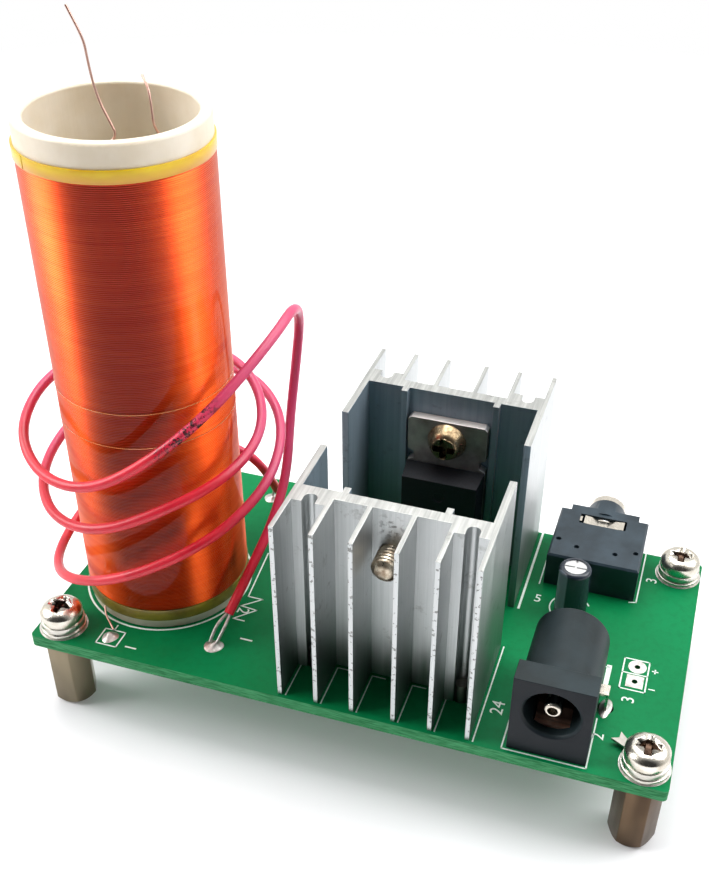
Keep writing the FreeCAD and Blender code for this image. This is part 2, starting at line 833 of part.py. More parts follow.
def make_solder_tag():
    """A small forked tag under the front right screw, pointing away from the corner."""
    body = new_body("solder_tag", "%s + %s - hole_inset" % (LEFT, BOARD_LENGTH), FRONT + " + hole_inset",
                    DECK + " + washer_thickness")
    body.Placement.Rotation = FreeCAD.Rotation(TAG_TURN, 0, 0)
    sketch = sketch_on(body, "XY_Plane")
    polygon(sketch, [
        ("spring_washer_diameter / 2", "-tag_neck / 2"),
        ("tag_reach", "-tag_spread / 2"),
        ("tag_reach - tag_fork", "0"),
        ("tag_reach", "tag_spread / 2"),
        ("spring_washer_diameter / 2", "tag_neck / 2"),
    ])
    pad(body, sketch, "tag_thickness")


# Heat sinks: the outline of the extruded bar, from the mounting face at y zero. The fins
# point forward, the channel opens to the back, and both halves are alike.
def sink_half():
    """Right half of the bar's outline, from the channel wall's end round to the middle."""
    edge = "sink_width / 2"
    root = "-sink_base"
    tip = "-(sink_base + fin_length)"
    land = "-(sink_base + pin_land)"
    half = "fin_thickness / 2"
    return [
        (edge, "channel_depth"),
        (edge, tip),
        (edge + " - fin_thickness", tip),
        (edge + " - fin_thickness", land),
        ("middle_fin_offset + " + half, land),
        ("middle_fin_offset + " + half, tip),
        ("middle_fin_offset - " + half, tip),
        ("middle_fin_offset - " + half, root),
        ("inner_fin_offset + " + half, root),
        ("inner_fin_offset + " + half, tip),
        ("inner_fin_offset - " + half, tip),
        ("inner_fin_offset - " + half, root),
    ]


def channel_half():
    """Right half of the channel side, from the middle out to the wall's end."""
    rib = "locating_rib_offset"
    half = "locating_rib_width / 2"
    return [
        (rib + " - " + half, "0"),
        (rib + " - " + half, "locating_rib_height"),
        (rib + " + " + half, "locating_rib_height"),
        (rib + " + " + half, "0"),
        ("sink_width / 2 - channel_wall", "0"),
        ("sink_width / 2 - channel_wall", "channel_depth"),
    ]


def other_side(points):
    """The same outline mirrored left for right, run the other way."""
    return [("-(%s)" % x, y) for x, y in reversed(points)]


PIN_X = "(sink_width / 2 - fin_thickness + middle_fin_offset + fin_thickness / 2) / 2"
PIN_SETBACK = "(sink_base + pin_land - pin_slot_depth + pin_slot / 2)"


def make_heatsink(label, y, turned):
    """One length of the finned bar, drilled for its transistor screw and slotted for two pins."""
    body = new_body(label, SINK_X, y, DECK, turned)
    sketch = sketch_on(body, "XY_Plane")
    polygon(sketch, sink_half() + other_side(sink_half()) + other_side(channel_half()) + channel_half())
    pad(body, sketch, "sink_height")
    slots = sketch_on(body, "XY_Plane")
    for side in ("", "-"):
        circle(slots, side + PIN_X, "-" + PIN_SETBACK, "pin_slot")
    pocket(body, slots, "sink_height")
    mouths = sketch_on(body, "XY_Plane")
    for side in ("", "-"):
        middle = side + PIN_X
        rectangle(mouths, middle + " - pin_slot / 2", middle + " + pin_slot / 2",
                  "-(sink_base + pin_land + overrun)", "-" + PIN_SETBACK)
    pocket(body, mouths, "sink_height")
    drill = sketch_on(body, "XZ_Plane", "-(sink_base + overrun)")
    circle(drill, "0", "tab_hole_height", "thread_diameter")
    pocket(body, drill, "sink_base + 2 * overrun")


def make_sink_pins():
    """Two solder pins in each heat sink, pressed into the slots and down through the board."""
    pins = []
    for face, back in ((FRONT_FACE, "-"), (REAR_FACE, "+")):
        for side in ("+", "-"):
            x = "%s %s %s" % (SINK_X, side, PIN_X)
            depth = "%s %s %s" % (face, back, PIN_SETBACK)
            pin = doc.addObject("Part::Cylinder", "Pin")
            pin.setExpression("Radius", bound("pin_slot / 2"))
            pin.setExpression("Height", bound("board_thickness + lead_tail + sink_pin_grip"))
            place(pin, x, depth, "standoff_height - lead_tail")
            pins.append(pin)
            lead(x, depth, "pin_slot / 2")
    group = doc.addObject("Part::Compound", "Pins")
    group.Links = pins
    node(group, "heatsink_pins")


def make_transistor(name, y, turned):
    """A three-legged power transistor, screwed flat against its heat sink."""
    x = SINK_X
    tab = new_body(name + "_transistor_tab", x, y, DECK, turned)
    sketch = sketch_on(tab, "XZ_Plane")
    half = "tab_width / 2"
    neck = "case_top + tab_notch_height"
    polygon(sketch, [
        ("-" + half, "case_bottom"), (half, "case_bottom"),
        (half, "case_top"), (half + " - tab_notch", "case_top + tab_notch / 2"),
        (half + " - tab_notch", neck), (half, neck + " + tab_notch / 2"),
        (half, "tab_top - tab_corner"), (half + " - tab_corner", "tab_top"),
        ("tab_corner - " + half, "tab_top"), ("-" + half, "tab_top - tab_corner"),
        ("-" + half, neck + " + tab_notch / 2"), ("tab_notch - " + half, neck),
        ("tab_notch - " + half, "case_top + tab_notch / 2"), ("-" + half, "case_top"),
    ])
    circle(sketch, "0", "tab_hole_height", "tab_hole")
    pad(tab, sketch, "tab_thickness")

    case = new_body(name + "_transistor_case", x, y, DECK, turned)
    back = sketch_on(case, "XZ_Plane", "tab_thickness")
    rectangle(back, "-" + half, half, "case_bottom", "case_top")
    front = sketch_on(case, "XZ_Plane", "case_thickness")
    rectangle(front, "case_draft - " + half, half + " - case_draft", "case_bottom + case_draft",
              "case_top - 2 * case_draft")
    loft = case.newObject("PartDesign::AdditiveLoft", "Loft")
    loft.Profile = back
    loft.Sections = [front]
    loft.Ruled = True
    case.Tip = loft
    dimple = sketch_on(case, "XZ_Plane", "case_thickness + overrun")
    circle(dimple, "0", "case_top - 2 * case_dimple", "case_dimple")
    pocket(case, dimple, "case_dimple_depth + overrun", positive=False)

    legs = new_body(name + "_transistor_leads", x, y, DECK, turned)
    sketch = sketch_on(legs, "XZ_Plane", "lead_setback - lead_thickness / 2")
    for position in ("-lead_pitch", "0", "lead_pitch"):
        wide = "lead_shoulder_width / 2"
        thin = "lead_width / 2"
        low = "-(board_thickness + lead_tail)"
        step = "lead_shoulder_height - (lead_shoulder_width - lead_width) / 2"
        polygon(sketch, [
            (position + " - " + wide, "case_bottom"), (position + " - " + wide, "lead_shoulder_height"),
            (position + " - " + thin, step), (position + " - " + thin, low),
            (position + " + " + thin, low), (position + " + " + thin, step),
            (position + " + " + wide, "lead_shoulder_height"), (position + " + " + wide, "case_bottom"),
        ])
        away = "-" if turned else "+"
        lead(x + " + " + position, "%s %s lead_setback" % (y, away), "sqrt(lead_width^2 + lead_thickness^2) / 2")
    pad(legs, sketch, "lead_thickness")


def make_transistor_screws():
    """One pan-head screw through each tab, its end showing among the fins."""
    group_members = []
    for name, y, turn in (("front", FRONT_FACE + " + tab_thickness", 0),
                          ("rear", REAR_FACE + " - tab_thickness", 180)):
        body = doc.addObject("PartDesign::Body", "Body_screw_" + name)
        turned_profile(body, screw_profile("transistor_screw_length", "transistor_head",
                                           "transistor_head_height", "transistor_head_rim"))
        cross_recess(body, "transistor_head_height")
        body.Placement = FreeCAD.Placement(vector(0, 0, 0), FreeCAD.Rotation(turn, 0, -90))
        body.setExpression("Placement.Base.x", bound(SINK_X))
        body.setExpression("Placement.Base.y", bound(y))
        body.setExpression("Placement.Base.z", bound(DECK + " + tab_hole_height"))
        group_members.append(body)
    group = doc.addObject("Part::Compound", "Screws")
    group.Links = group_members
    node(group, "transistor_screws")


# Power socket, in its own frame: origin on the board at the middle of the front face.
POWER_X = "%s + %s + power_offset" % (LEFT, SOCKET_FROM_LEFT)
POWER_Y = "%s + power_from_front" % FRONT
BARREL_RADIUS = "(barrel_width / 2)"
BARREL_AXIS = "(barrel_top - barrel_width / 2)"
LEAF_TERMINAL_Y = "(leaf_slot_depth - power_tail_thickness)"
# Radius of the tail's round end, as a share of the tail's width: just over a half circle's.
tail_round_share = 0.51


def make_power_housing():
    """Square front flange, round-backed barrel, the bore and the slot for the contact leaf."""
    body = new_body("power_socket_housing", POWER_X, POWER_Y, DECK)
    arch = sketch_on(body, "XZ_Plane", "flange_depth - overrun")
    circle(arch, "0", BARREL_AXIS, "barrel_width")
    pad(body, arch, "power_length - flange_depth + overrun")
    skirt = sketch_on(body, "XZ_Plane", "flange_depth - overrun")
    rectangle(skirt, "-" + BARREL_RADIUS, BARREL_RADIUS, "0", BARREL_AXIS)
    pad(body, skirt, "power_length - flange_depth + overrun")
    dress(body, "Chamfer", lambda spot: near(spot.y, "power_length") and not near(spot.z, "0"), "barrel_chamfer")
    flange = sketch_on(body, "XZ_Plane")
    rectangle(flange, "-flange_width / 2", "flange_width / 2", "0", "flange_height")
    pad(body, flange, "flange_depth")
    bore = sketch_on(body, "XZ_Plane", "-overrun")
    circle(bore, "0", "power_bore_height", "power_bore")
    pocket(body, bore, "power_bore_depth + overrun")
    dress(body, "Chamfer", lambda spot: near(spot.y, "0")
          and near(math.hypot(spot.x, spot.z - value("power_bore_height")), "power_bore / 2"), "bore_lead_in")
    slot = sketch_on(body, "XZ_Plane", "leaf_slot_lip")
    wide = "(leaf_width / 2 + leaf_side_clearance)"
    rectangle(slot, "-" + wide, wide, "leaf_slot_floor", "leaf_crest_height")
    pocket(body, slot, "leaf_slot_depth - leaf_slot_lip")
    seat = sketch_on(body, "XZ_Plane", "power_bore_depth - overrun")
    circle(seat, "0", "power_bore_height", "power_pin")
    pocket(body, seat, "power_length - power_bore_depth + 2 * overrun")
    tail = sketch_on(body, "XY_Plane")
    rectangle(tail, "-power_tail_width / 2", "power_tail_width / 2", LEAF_TERMINAL_Y, "leaf_slot_depth")
    pocket(body, tail, "leaf_slot_floor + overrun")
    tongue = sketch_on(body, "XZ_Plane", "switch_from_front - switch_width / 2")
    rectangle(tongue, "switch_seat", "flange_width", "switch_height - leaf_thickness", "switch_height")
    pocket(body, tongue, "switch_width")


def make_power_pin():
    """Hollow centre pin, with the tail that is riveted to its back end and goes to the board."""
    body = new_body("power_socket_pin", POWER_X, POWER_Y, DECK)
    shank = sketch_on(body, "XZ_Plane", "power_pin_setback")
    circle(shank, "0", "power_bore_height", "power_pin")
    pad(body, shank, "power_length - power_pin_setback")
    dress(body, "Fillet", lambda spot: near(spot.y, "power_pin_setback"), "power_pin / 6")
    hollow = sketch_on(body, "XZ_Plane", "power_pin_setback - overrun")
    circle(hollow, "0", "power_bore_height", "power_pin_hollow")
    pocket(body, hollow, "power_pin_hollow_depth + overrun")
    tail = sketch_on(body, "XZ_Plane", "power_length")
    low = "-(board_thickness + lead_tail)"
    polygon(tail, [
        ("-power_tail_width / 2", low), ("power_tail_width / 2", low),
        ("power_tail_width / 2", "power_bore_height", "power_tail_width * %s" % tail_round_share),
        ("-power_tail_width / 2", "power_bore_height"),
    ])
    pad(body, tail, "power_tail_thickness")
    lead(POWER_X, POWER_Y + " + power_length + power_tail_thickness / 2",
         "sqrt(power_tail_width^2 + power_tail_thickness^2) / 2")


def leaf_outline(route, thickness):
    """A bent strip seen from the side: its route above and below by half its thickness."""
    above = [(along, "%s + %s / 2" % (up, thickness)) for along, up in route]
    below = [(along, "%s - %s / 2" % (up, thickness)) for along, up in route]
    return above + below[::-1]


def make_power_leaf():
    """The sprung contact leaf under the bore, and the fixed terminal behind it."""
    leaf = new_body("power_socket_leaf", POWER_X, POWER_Y, DECK)
    sketch = sketch_on(leaf, "YZ_Plane", "-leaf_width / 2")
    root = LEAF_TERMINAL_Y + " - contact_gap"
    polygon(sketch, leaf_outline([
        ("leaf_tip_depth", "leaf_tip_height"),
        ("leaf_tip_depth + leaf_lip", "leaf_tip_height"),
        ("leaf_crest_depth - leaf_lip / 2", "leaf_crest_height - leaf_thickness / 2"),
        ("leaf_crest_depth + leaf_lip / 2", "leaf_crest_height - leaf_thickness / 2"),
        (root + " - 2 * leaf_lip", "leaf_root_height + leaf_thickness"),
        (root, "leaf_root_height"),
    ], "leaf_thickness"))
    pad(leaf, sketch, "leaf_width")
    terminal = new_body("power_socket_terminal", POWER_X, POWER_Y, DECK)
    plate = sketch_on(terminal, "XZ_Plane", LEAF_TERMINAL_Y)
    wide = "leaf_width / 2"
    thin = "power_tail_width / 2"
    low = "-(board_thickness + lead_tail)"
    high = "leaf_root_height + leaf_thickness"
    polygon(plate, [
        ("-" + thin, low), (thin, low), (thin, "leaf_slot_floor"), (wide, "leaf_slot_floor"),
        (wide, high), ("-" + wide, high), ("-" + wide, "leaf_slot_floor"), ("-" + thin, "leaf_slot_floor"),
    ])
    pad(terminal, plate, "power_tail_thickness")
    lead(POWER_X, "%s + %s + power_tail_thickness / 2" % (POWER_Y, LEAF_TERMINAL_Y),
         "sqrt(power_tail_width^2 + power_tail_thickness^2) / 2")


def make_power_switch_terminal():
    """The side terminal: a tongue out of the housing, bent down through the board."""
    body = new_body("power_socket_side_terminal", POWER_X, POWER_Y, DECK)
    sketch = sketch_on(body, "XZ_Plane", "switch_from_front - switch_width / 2")
    low = "-(board_thickness + lead_tail)"
    polygon(sketch, [
        ("switch_seat", "switch_height - leaf_thickness"),
        ("switch_reach - leaf_thickness", "switch_height - leaf_thickness"),
        ("switch_reach - leaf_thickness", low), ("switch_reach", low), ("switch_reach", "switch_height"),
        ("switch_seat", "switch_height"),
    ])
    pad(body, sketch, "switch_width")
    lead(POWER_X + " + switch_reach - leaf_thickness / 2", POWER_Y + " + switch_from_front",
         "sqrt(switch_width^2 + leaf_thickness^2) / 2")


# Audio socket, in its own frame: origin on the board at the middle of the inner face.
AUDIO_X = "%s + %s" % (LEFT, SOCKET_FROM_LEFT)
AUDIO_Y = "%s + %s + audio_rear_overhang - audio_length" % (FRONT, BOARD_WIDTH)
NOSE_END = "(audio_length + nose_length)"
SLEEVE_END = "(audio_length + nose_length + sleeve_length)"
# The round sleeve hangs a little below the board's top, so it starts just past the board's edge.
SLEEVE_ROOT = "(audio_length - audio_rear_overhang / 2)"


def make_audio_housing():
    """Moulded box with a stepped nose, the plug bore, and an open cavity each side of it."""
    body = new_body("audio_socket_housing", AUDIO_X, AUDIO_Y, DECK)
    sketch = sketch_on(body, "XY_Plane")
    wide = "audio_width / 2"
    nose = "nose_width / 2"
    polygon(sketch, [
        ("-" + wide, "0"), (wide, "0"), (wide, "audio_length"), (nose, "audio_length"), (nose, NOSE_END),
        ("-" + nose, NOSE_END), ("-" + nose, "audio_length"), ("-" + wide, "audio_length"),
    ])
    pad(body, sketch, "audio_height")
    dress(body, "Chamfer", lambda spot: near(spot.z, "audio_height") and not near(spot.y, NOSE_END),
          "audio_edge_rounding")
    sleeve = sketch_on(body, "XZ_Plane", SLEEVE_ROOT)
    circle(sleeve, "0", "audio_bore_height", "sleeve_diameter")
    pad(body, sleeve, "%s - bush_flange - %s" % (SLEEVE_END, SLEEVE_ROOT))
    for low_x, high_x, back in (("spring_cavity_inner", "spring_cavity_outer", "tip_cavity_back"),
                                ("-spring_cavity_outer", "-spring_cavity_inner", "ring_cavity_back")):
        cavity = sketch_on(body, "XY_Plane", "-overrun")
        rectangle(cavity, low_x, high_x, "spring_cavity_front", back)
        pocket(body, cavity, "spring_cavity_top + overrun")
    bore = sketch_on(body, "XZ_Plane", SLEEVE_END + " - audio_bore_depth")
    circle(bore, "0", "audio_bore_height", "audio_bore + audio_bore_relief")
    pocket(body, bore, "audio_bore_depth + overrun")
    seat = sketch_on(body, "XZ_Plane", SLEEVE_END + " - sleeve_length")
    circle(seat, "0", "audio_bore_height", "audio_bore + 2 * bush_wall")
    pocket(body, seat, "sleeve_length + overrun")
    window = sketch_on(body, "XY_Plane", "audio_bore_height + audio_bore / 4")
    rectangle(window, "-window_width / 2", "window_width / 2", "window_from_front - window_length / 2",
              "window_from_front + window_length / 2")
    pocket(body, window, "audio_height")
    slot = sketch_on(body, "XY_Plane", "-overrun")
    rectangle(slot, "-window_width / 2", "terminal_thickness - window_width / 2",
              "window_from_front - terminal_width / 2", "window_from_front + terminal_width / 2")
    pocket(body, slot, "audio_height")
    pits = sketch_on(body, "XY_Plane", "audio_height - pit_depth")
    for side in ("", "-"):
        circle(pits, side + "inner_pit_offset", "inner_pit_from_front", "pit_diameter")
        circle(pits, side + "outer_pit_offset", "outer_pit_from_front", "pit_diameter")
    pocket(body, pits, "pit_depth + overrun")


def make_audio_bush():
    """The plated ring in the socket's mouth that a plug's sleeve slides into, with its flange."""
    body = new_body("audio_socket_bush", AUDIO_X, AUDIO_Y, DECK)
    sketch = sketch_on(body, "XZ_Plane", SLEEVE_END + " - sleeve_length")
    circle(sketch, "0", "audio_bore_height", "audio_bore + 2 * bush_wall")
    circle(sketch, "0", "audio_bore_height", "audio_bore")
    pad(body, sketch, "sleeve_length")
    flange = sketch_on(body, "XZ_Plane", SLEEVE_END + " - bush_flange")
    circle(flange, "0", "audio_bore_height", "sleeve_diameter")
    circle(flange, "0", "audio_bore_height", "audio_bore")
    pad(body, flange, "bush_flange")


# Routes of the two side springs, as shares of the way from root to crest and of the swing
# towards the bore.
side_spring_shares = [(0.0, 0.0), (0.45, 0.16), (0.78, 0.55), (1.0, 1.0), (1.18, 0.72), (1.28, 0.5)]


def side_spring(label, side, root, way, run, swing):
    """One strip contact standing on edge beside the bore."""
    body = new_body(label, AUDIO_X, AUDIO_Y, DECK)
    sketch = sketch_on(body, "XY_Plane", "spring_bottom")
    near = []
    far = []
    for along, across in side_spring_shares:
        x = "%s(terminal_offset - %s * %s" % (side, across, swing)
        y = "%s %s %s * %s" % (root, way, along, run)
        near.append((x + " - spring_thickness / 2)", y))
        far.append((x + " + spring_thickness / 2)", y))
    polygon(sketch, near + far[::-1])
    pad(body, sketch, "spring_top - spring_bottom")


def make_audio_contacts():
    """Tip, ring and ground springs, and the three terminals that hold them."""
    side_spring("audio_socket_tip_spring", "", "(tip_cavity_back - terminal_thickness - contact_gap)", "-",
                "tip_spring_run", "tip_spring_swing")
    side_spring("audio_socket_ring_spring", "-", "(spring_cavity_front + terminal_thickness + contact_gap)", "+",
                "ring_spring_run", "ring_spring_swing")
    ground = new_body("audio_socket_ground_spring", AUDIO_X, AUDIO_Y, DECK)
    sketch = sketch_on(ground, "XZ_Plane", "window_from_front - ground_spring_width / 2")
    root = "terminal_thickness + contact_gap - window_width / 2"
    far = "window_width / 2 - contact_gap"
    polygon(sketch, leaf_outline([
        (root, "ground_spring_height"),
        ("-window_width / 4", "ground_spring_height - ground_spring_dip / 5"),
        ("-window_width / 10", "ground_spring_height - ground_spring_dip"),
        ("window_width / 10", "ground_spring_height - ground_spring_dip"),
        ("window_width / 4", "ground_spring_height - ground_spring_dip / 5"),
        (far, "ground_spring_height"),
    ], "spring_thickness"))
    pad(ground, sketch, "ground_spring_width")

    posts = []
    low = "standoff_height - lead_tail"
    for x, y, length, width, top in (
            ("terminal_offset", "tip_cavity_back - terminal_thickness / 2", "terminal_thickness",
             "terminal_width", "spring_top"),
            ("-terminal_offset", "spring_cavity_front + terminal_thickness / 2", "terminal_thickness",
             "terminal_width", "spring_top"),
            ("(terminal_thickness - window_width) / 2", "window_from_front", "terminal_width",
             "terminal_thickness", "ground_spring_height + spring_thickness / 2")):
        post = doc.addObject("Part::Box", "Terminal")
        post.setExpression("Length", bound(width))
        post.setExpression("Width", bound(length))
        post.setExpression("Height", bound("board_thickness + lead_tail + " + top))
        place(post, "%s + %s - %s / 2" % (AUDIO_X, x, width), "%s + %s - %s / 2" % (AUDIO_Y, y, length), low)
        posts.append(post)
        lead("%s + %s" % (AUDIO_X, x), "%s + %s" % (AUDIO_Y, y), "sqrt(%s^2 + %s^2) / 2" % (length, width))
    group = doc.addObject("Part::Compound", "Terminals")
    group.Links = posts
    node(group, "audio_socket_terminals")


def make_capacitor():
    """Radial electrolytic capacitor: can, shrunk sleeve, rubber bung and two leads."""
    x = AUDIO_X + " - capacitor_offset"
    y = AUDIO_Y + " - capacitor_to_socket"
    foot = DECK + " + capacitor_stand"
    radius = "(capacitor_diameter / 2 - sleeve_film)"
    top = "(capacitor_height - capacitor_stand)"
    can = new_body("capacitor_can", x, y, foot)
    turned_profile(can, [
        ("0", "bung_height"), (radius + " - can_wall", "bung_height"), (radius + " - can_wall", "0"),
        (radius, "0"), (radius, "crimp_height - crimp_depth"), (radius + " - crimp_depth", "crimp_height"),
        (radius, "crimp_height + crimp_depth"),
        (radius, top + " - can_rounding", "can_rounding"), (radius + " - can_rounding", top), ("0", top),
    ])
    vent = sketch_on(can, "XY_Plane", top)
    polygon(vent, cross_outline("2 * (%s - can_rounding)" % radius, "vent_width"))
    pocket(can, vent, "vent_depth", positive=False)
    film = new_body("capacitor_sleeve", x, y, foot)
    turned_profile(film, [
        ("0", "0"), (radius + " + sleeve_film", "0"),
        (radius + " + sleeve_film", top + " - can_rounding", "can_rounding + sleeve_film"),
        (radius + " - can_rounding", top + " + sleeve_film"), ("0", top + " + sleeve_film"),
    ])
    inside = sketch_on(film, "XZ_Plane")
    polygon(inside, [
        ("0", "-overrun"), (radius, "-overrun"), (radius, top + " - can_rounding", "can_rounding"),
        (radius + " - can_rounding", top), ("0", top),
    ])
    groove(film, inside)
    mouth = sketch_on(film, "XY_Plane", top + " - overrun")
    circle(mouth, "0", "0", "2 * (%s - can_rounding - sleeve_curl)" % radius)
    pocket(film, mouth, "sleeve_film + 2 * overrun", positive=True)
    bung = new_body("capacitor_bung", x, y, foot)
    turned_profile(bung, [
        ("0", "0"), (radius + " - can_wall", "0"), (radius + " - can_wall", "bung_height"), ("0", "bung_height"),
    ])
    legs = []
    for side in ("-", "+"):
        leg = doc.addObject("Part::Cylinder", "Leg")
        leg.setExpression("Radius", bound("capacitor_lead / 2"))
        leg.setExpression("Height", bound("board_thickness + lead_tail + capacitor_stand"))
        place(leg, "%s %s capacitor_pitch / 2" % (x, side), y, "standoff_height - lead_tail")
        legs.append(leg)
        lead("%s %s capacitor_pitch / 2" % (x, side), y, "capacitor_lead / 2")
    group = doc.addObject("Part::Compound", "Legs")
    group.Links = legs
    node(group, "capacitor_leads")


def solder_dome(x, y, diameter, height):
    """A low drop of solder on top of the board, cut from a ball."""
    ball_radius = "((%s / 2)^2 + %s^2) / (2 * %s)" % (diameter, height, height)
    ball = doc.addObject("Part::Sphere", "Ball")
    ball.setExpression("Radius", bound(ball_radius))
    place(ball, x, y, "%s + %s - %s" % (DECK, height, ball_radius))
    block = doc.addObject("Part::Box", "Block")
    block.setExpression("Length", bound(diameter + " + overrun"))
    block.setExpression("Width", bound(diameter + " + overrun"))
    block.setExpression("Height", bound(height + " + overrun"))
    place(block, "%s - (%s + overrun) / 2" % (x, diameter), "%s - (%s + overrun) / 2" % (y, diameter), DECK)
    drop = doc.addObject("Part::Common", "Drop")
    drop.Base = ball
    drop.Tool = block
    return drop


PADS = {
    "front": (LEFT + " + front_pad_from_left", FRONT + " + front_pad_from_front"),
    "rear": (LEFT + " + rear_pad_from_left", "%s + %s - rear_pad_from_rear" % (FRONT, BOARD_WIDTH)),
    "coil": (LEFT + " + coil_pad_from_left", FRONT + " + coil_pad_from_front"),
}


def make_top_solder():
    """Drops of solder on the two round pads and the square one."""
    drops = [solder_dome(PADS[name][0], PADS[name][1], diameter, "solder_dome_height")
             for name, diameter in (("front", "solder_dome"), ("rear", "solder_dome"), ("coil", "coil_pad_size"))]
    group = doc.addObject("Part::Compound", "Drops")
    group.Links = drops
    node(group, "top_solder")


# How far the two front strands stand apart, as a share of a strand's diameter.
strand_spread_share = 1.1


def make_primary_ends():
    """The bared strands between the insulation and the solder at each end."""
    strands = []
    lift = value(DECK) + value("solder_dome_height")
    spread = value("bare_strand") * strand_spread_share
    front = vector(value(PADS["front"][0]), value(PADS["front"][1]), lift)
    rear = vector(value(PADS["rear"][0]), value(PADS["rear"][1]), lift)
    start = vector(*LEAD_IN[0])
    end = vector(*LEAD_OUT[-1])
    for sheath, solder, side in ((start, front, -1), (start, front, 1), (end, rear, 0)):
        foot = solder + vector(side * spread, 0, 0)
        top = sheath + vector(side * spread / 2, 0, 0)
        middle = (foot + top) / 2 + vector(side * spread / 2, 0, value("bare_strand"))
        edges, radii = rounded_path([top, middle, foot])
        strands.append(wire_solid(edges, value("bare_strand"), top, middle - top))
    piece = doc.addObject("Part::Feature", "primary_wire_ends")
    piece.Shape = Part.makeCompound(strands)
    piece.Placement = FreeCAD.Placement()
    node(piece, "primary_wire_ends")


def make_small_parts():
    """Two chip resistors and a clamp diode soldered flat under the board."""
    ends = []
    cores = []
    for row in ("0", "resistor_spacing"):
        y = "%s + resistor_from_front + %s" % (FRONT, row)
        core = doc.addObject("Part::Box", "Chip")
        core.setExpression("Length", bound("resistor_length - 2 * resistor_end"))
        core.setExpression("Width", bound("resistor_width"))
        core.setExpression("Height", bound("resistor_height"))
        place(core, LEFT + " + resistor_from_left + resistor_end", y, "standoff_height - resistor_height")
        cores.append(core)
        for x in ("0", "resistor_length - resistor_end"):
            cap = doc.addObject("Part::Box", "Cap")
            cap.setExpression("Length", bound("resistor_end"))
            cap.setExpression("Width", bound("resistor_width"))
            cap.setExpression("Height", bound("resistor_height"))
            place(cap, "%s + resistor_from_left + %s" % (LEFT, x), y, "standoff_height - resistor_height")
            ends.append(cap)
    group = doc.addObject("Part::Compound", "Chips")
    group.Links = cores
    node(group, "chip_resistors")
    group = doc.addObject("Part::Compound", "Caps")
    group.Links = ends
    node(group, "chip_end_caps")
    diode = new_body("clamp_diode", LEFT + " + diode_from_left", FRONT + " + diode_from_front",
                     "standoff_height - diode_height")
    sketch = sketch_on(diode, "XY_Plane")
    rectangle(sketch, "-diode_length / 2", "diode_length / 2", "-diode_width / 2", "diode_width / 2")
    pad(diode, sketch, "diode_height")
    dress(diode, "Chamfer", lambda spot: near(spot.z, "0"), "diode_tab_length / 4")
    tabs = []
    for side in ("-", "+"):
        tab = doc.addObject("Part::Box", "Tab")
        tab.setExpression("Length", bound("diode_tab_length"))
        tab.setExpression("Width", bound("diode_tab_width"))
        tab.setExpression("Height", bound("diode_tab_height"))
        x = "%s + diode_from_left %s (diode_length + diode_tab_length) / 2 - diode_tab_length / 2" % (LEFT, side)
        place(tab, x, FRONT + " + diode_from_front - diode_tab_width / 2", "standoff_height - diode_tab_height")
        tabs.append(tab)
    group = doc.addObject("Part::Compound", "Tabs")
    group.Links = tabs
    node(group, "clamp_diode_tabs")


def make_solder_joints():
    """A cone of solder round every lead that comes out under the board."""
    cones = []
    cores = []
    for x, y, radius in LEADS:
        cone = doc.addObject("Part::Cone", "Solder")
        cone.setExpression("Radius1", bound(radius + " + solder_tip"))
        cone.setExpression("Radius2", bound(radius + " + solder_spread"))
        cone.setExpression("Height", bound("solder_height"))
        place(cone, x, y, "standoff_height - solder_height")
        cones.append(cone)
        core = doc.addObject("Part::Cylinder", "Core")
        core.setExpression("Radius", bound(radius))
        core.setExpression("Height", bound("solder_height + 2 * overrun"))
        place(core, x, y, "standoff_height - solder_height - overrun")
        cores.append(core)
    joints = []
    for cone, core in zip(cones, cores):
        joint = doc.addObject("Part::Cut", "Joint")
        joint.Base = cone
        joint.Tool = core
        joints.append(joint)
    group = doc.addObject("Part::Compound", "Joints")
    group.Links = joints
    node(group, "solder_joints")


def make_board():
    """The printed board, drilled for its screws, for every lead and for the empty header."""
    body = new_body("circuit_board", "0", BOARD_MIDDLE, "standoff_height")
    sketch = sketch_on(body, "XY_Plane")
    half_x = BOARD_LENGTH + " / 2"
    half_y = BOARD_WIDTH + " / 2"
    rectangle(sketch, "-" + half_x, half_x, "-" + half_y, half_y)
    pad(body, sketch, "board_thickness")
    dress(body, "Fillet", lambda spot: near(abs(spot.x), half_x) and near(abs(spot.y), half_y),
          "board_corner_radius")
    corners = sketch_on(body, "XY_Plane", "-overrun")
    for side_x in ("-", ""):
        for side_y in ("-", ""):
            circle(corners, "%s(%s - hole_inset)" % (side_x, half_x), "%s(%s - hole_inset)" % (side_y, half_y),
                   "mounting_hole")
    pocket(body, corners, "board_thickness + 2 * overrun")
    drills = sketch_on(body, "XY_Plane", "-overrun")
    for x, y, radius in LEADS:
        circle(drills, x, "%s - (%s)" % (y, BOARD_MIDDLE), "2 * (%s + lead_clearance)" % radius)
    for side in ("-", "+"):
        circle(drills, "%s + %s - header_from_right" % (LEFT, BOARD_LENGTH),
               "%s + header_from_front %s header_pitch / 2 - (%s)" % (FRONT, side, BOARD_MIDDLE), "header_hole")
    pocket(body, drills, "board_thickness + 2 * overrun")


def check_and_write():
    """Stop if anything failed, then write one file for each sub-part."""
    doc.recompute()
    for item in doc.Objects:
        if "Invalid" in item.State or "Error" in item.State:
            raise RuntimeError("%s failed: %s" % (item.Label, item.State))
    os.makedirs("parts", exist_ok=True)
    for piece in NODES:
        if piece.Shape.isNull() or not piece.Shape.isValid():
            raise RuntimeError("%s has no sound solid" % piece.Label)
    for piece in NODES:
        piece.Shape.exportStep("parts/%s.step" % piece.Label)
    print("%d sub-parts, %d solids" % (len(NODES), sum(len(piece.Shape.Solids) for piece in NODES)))


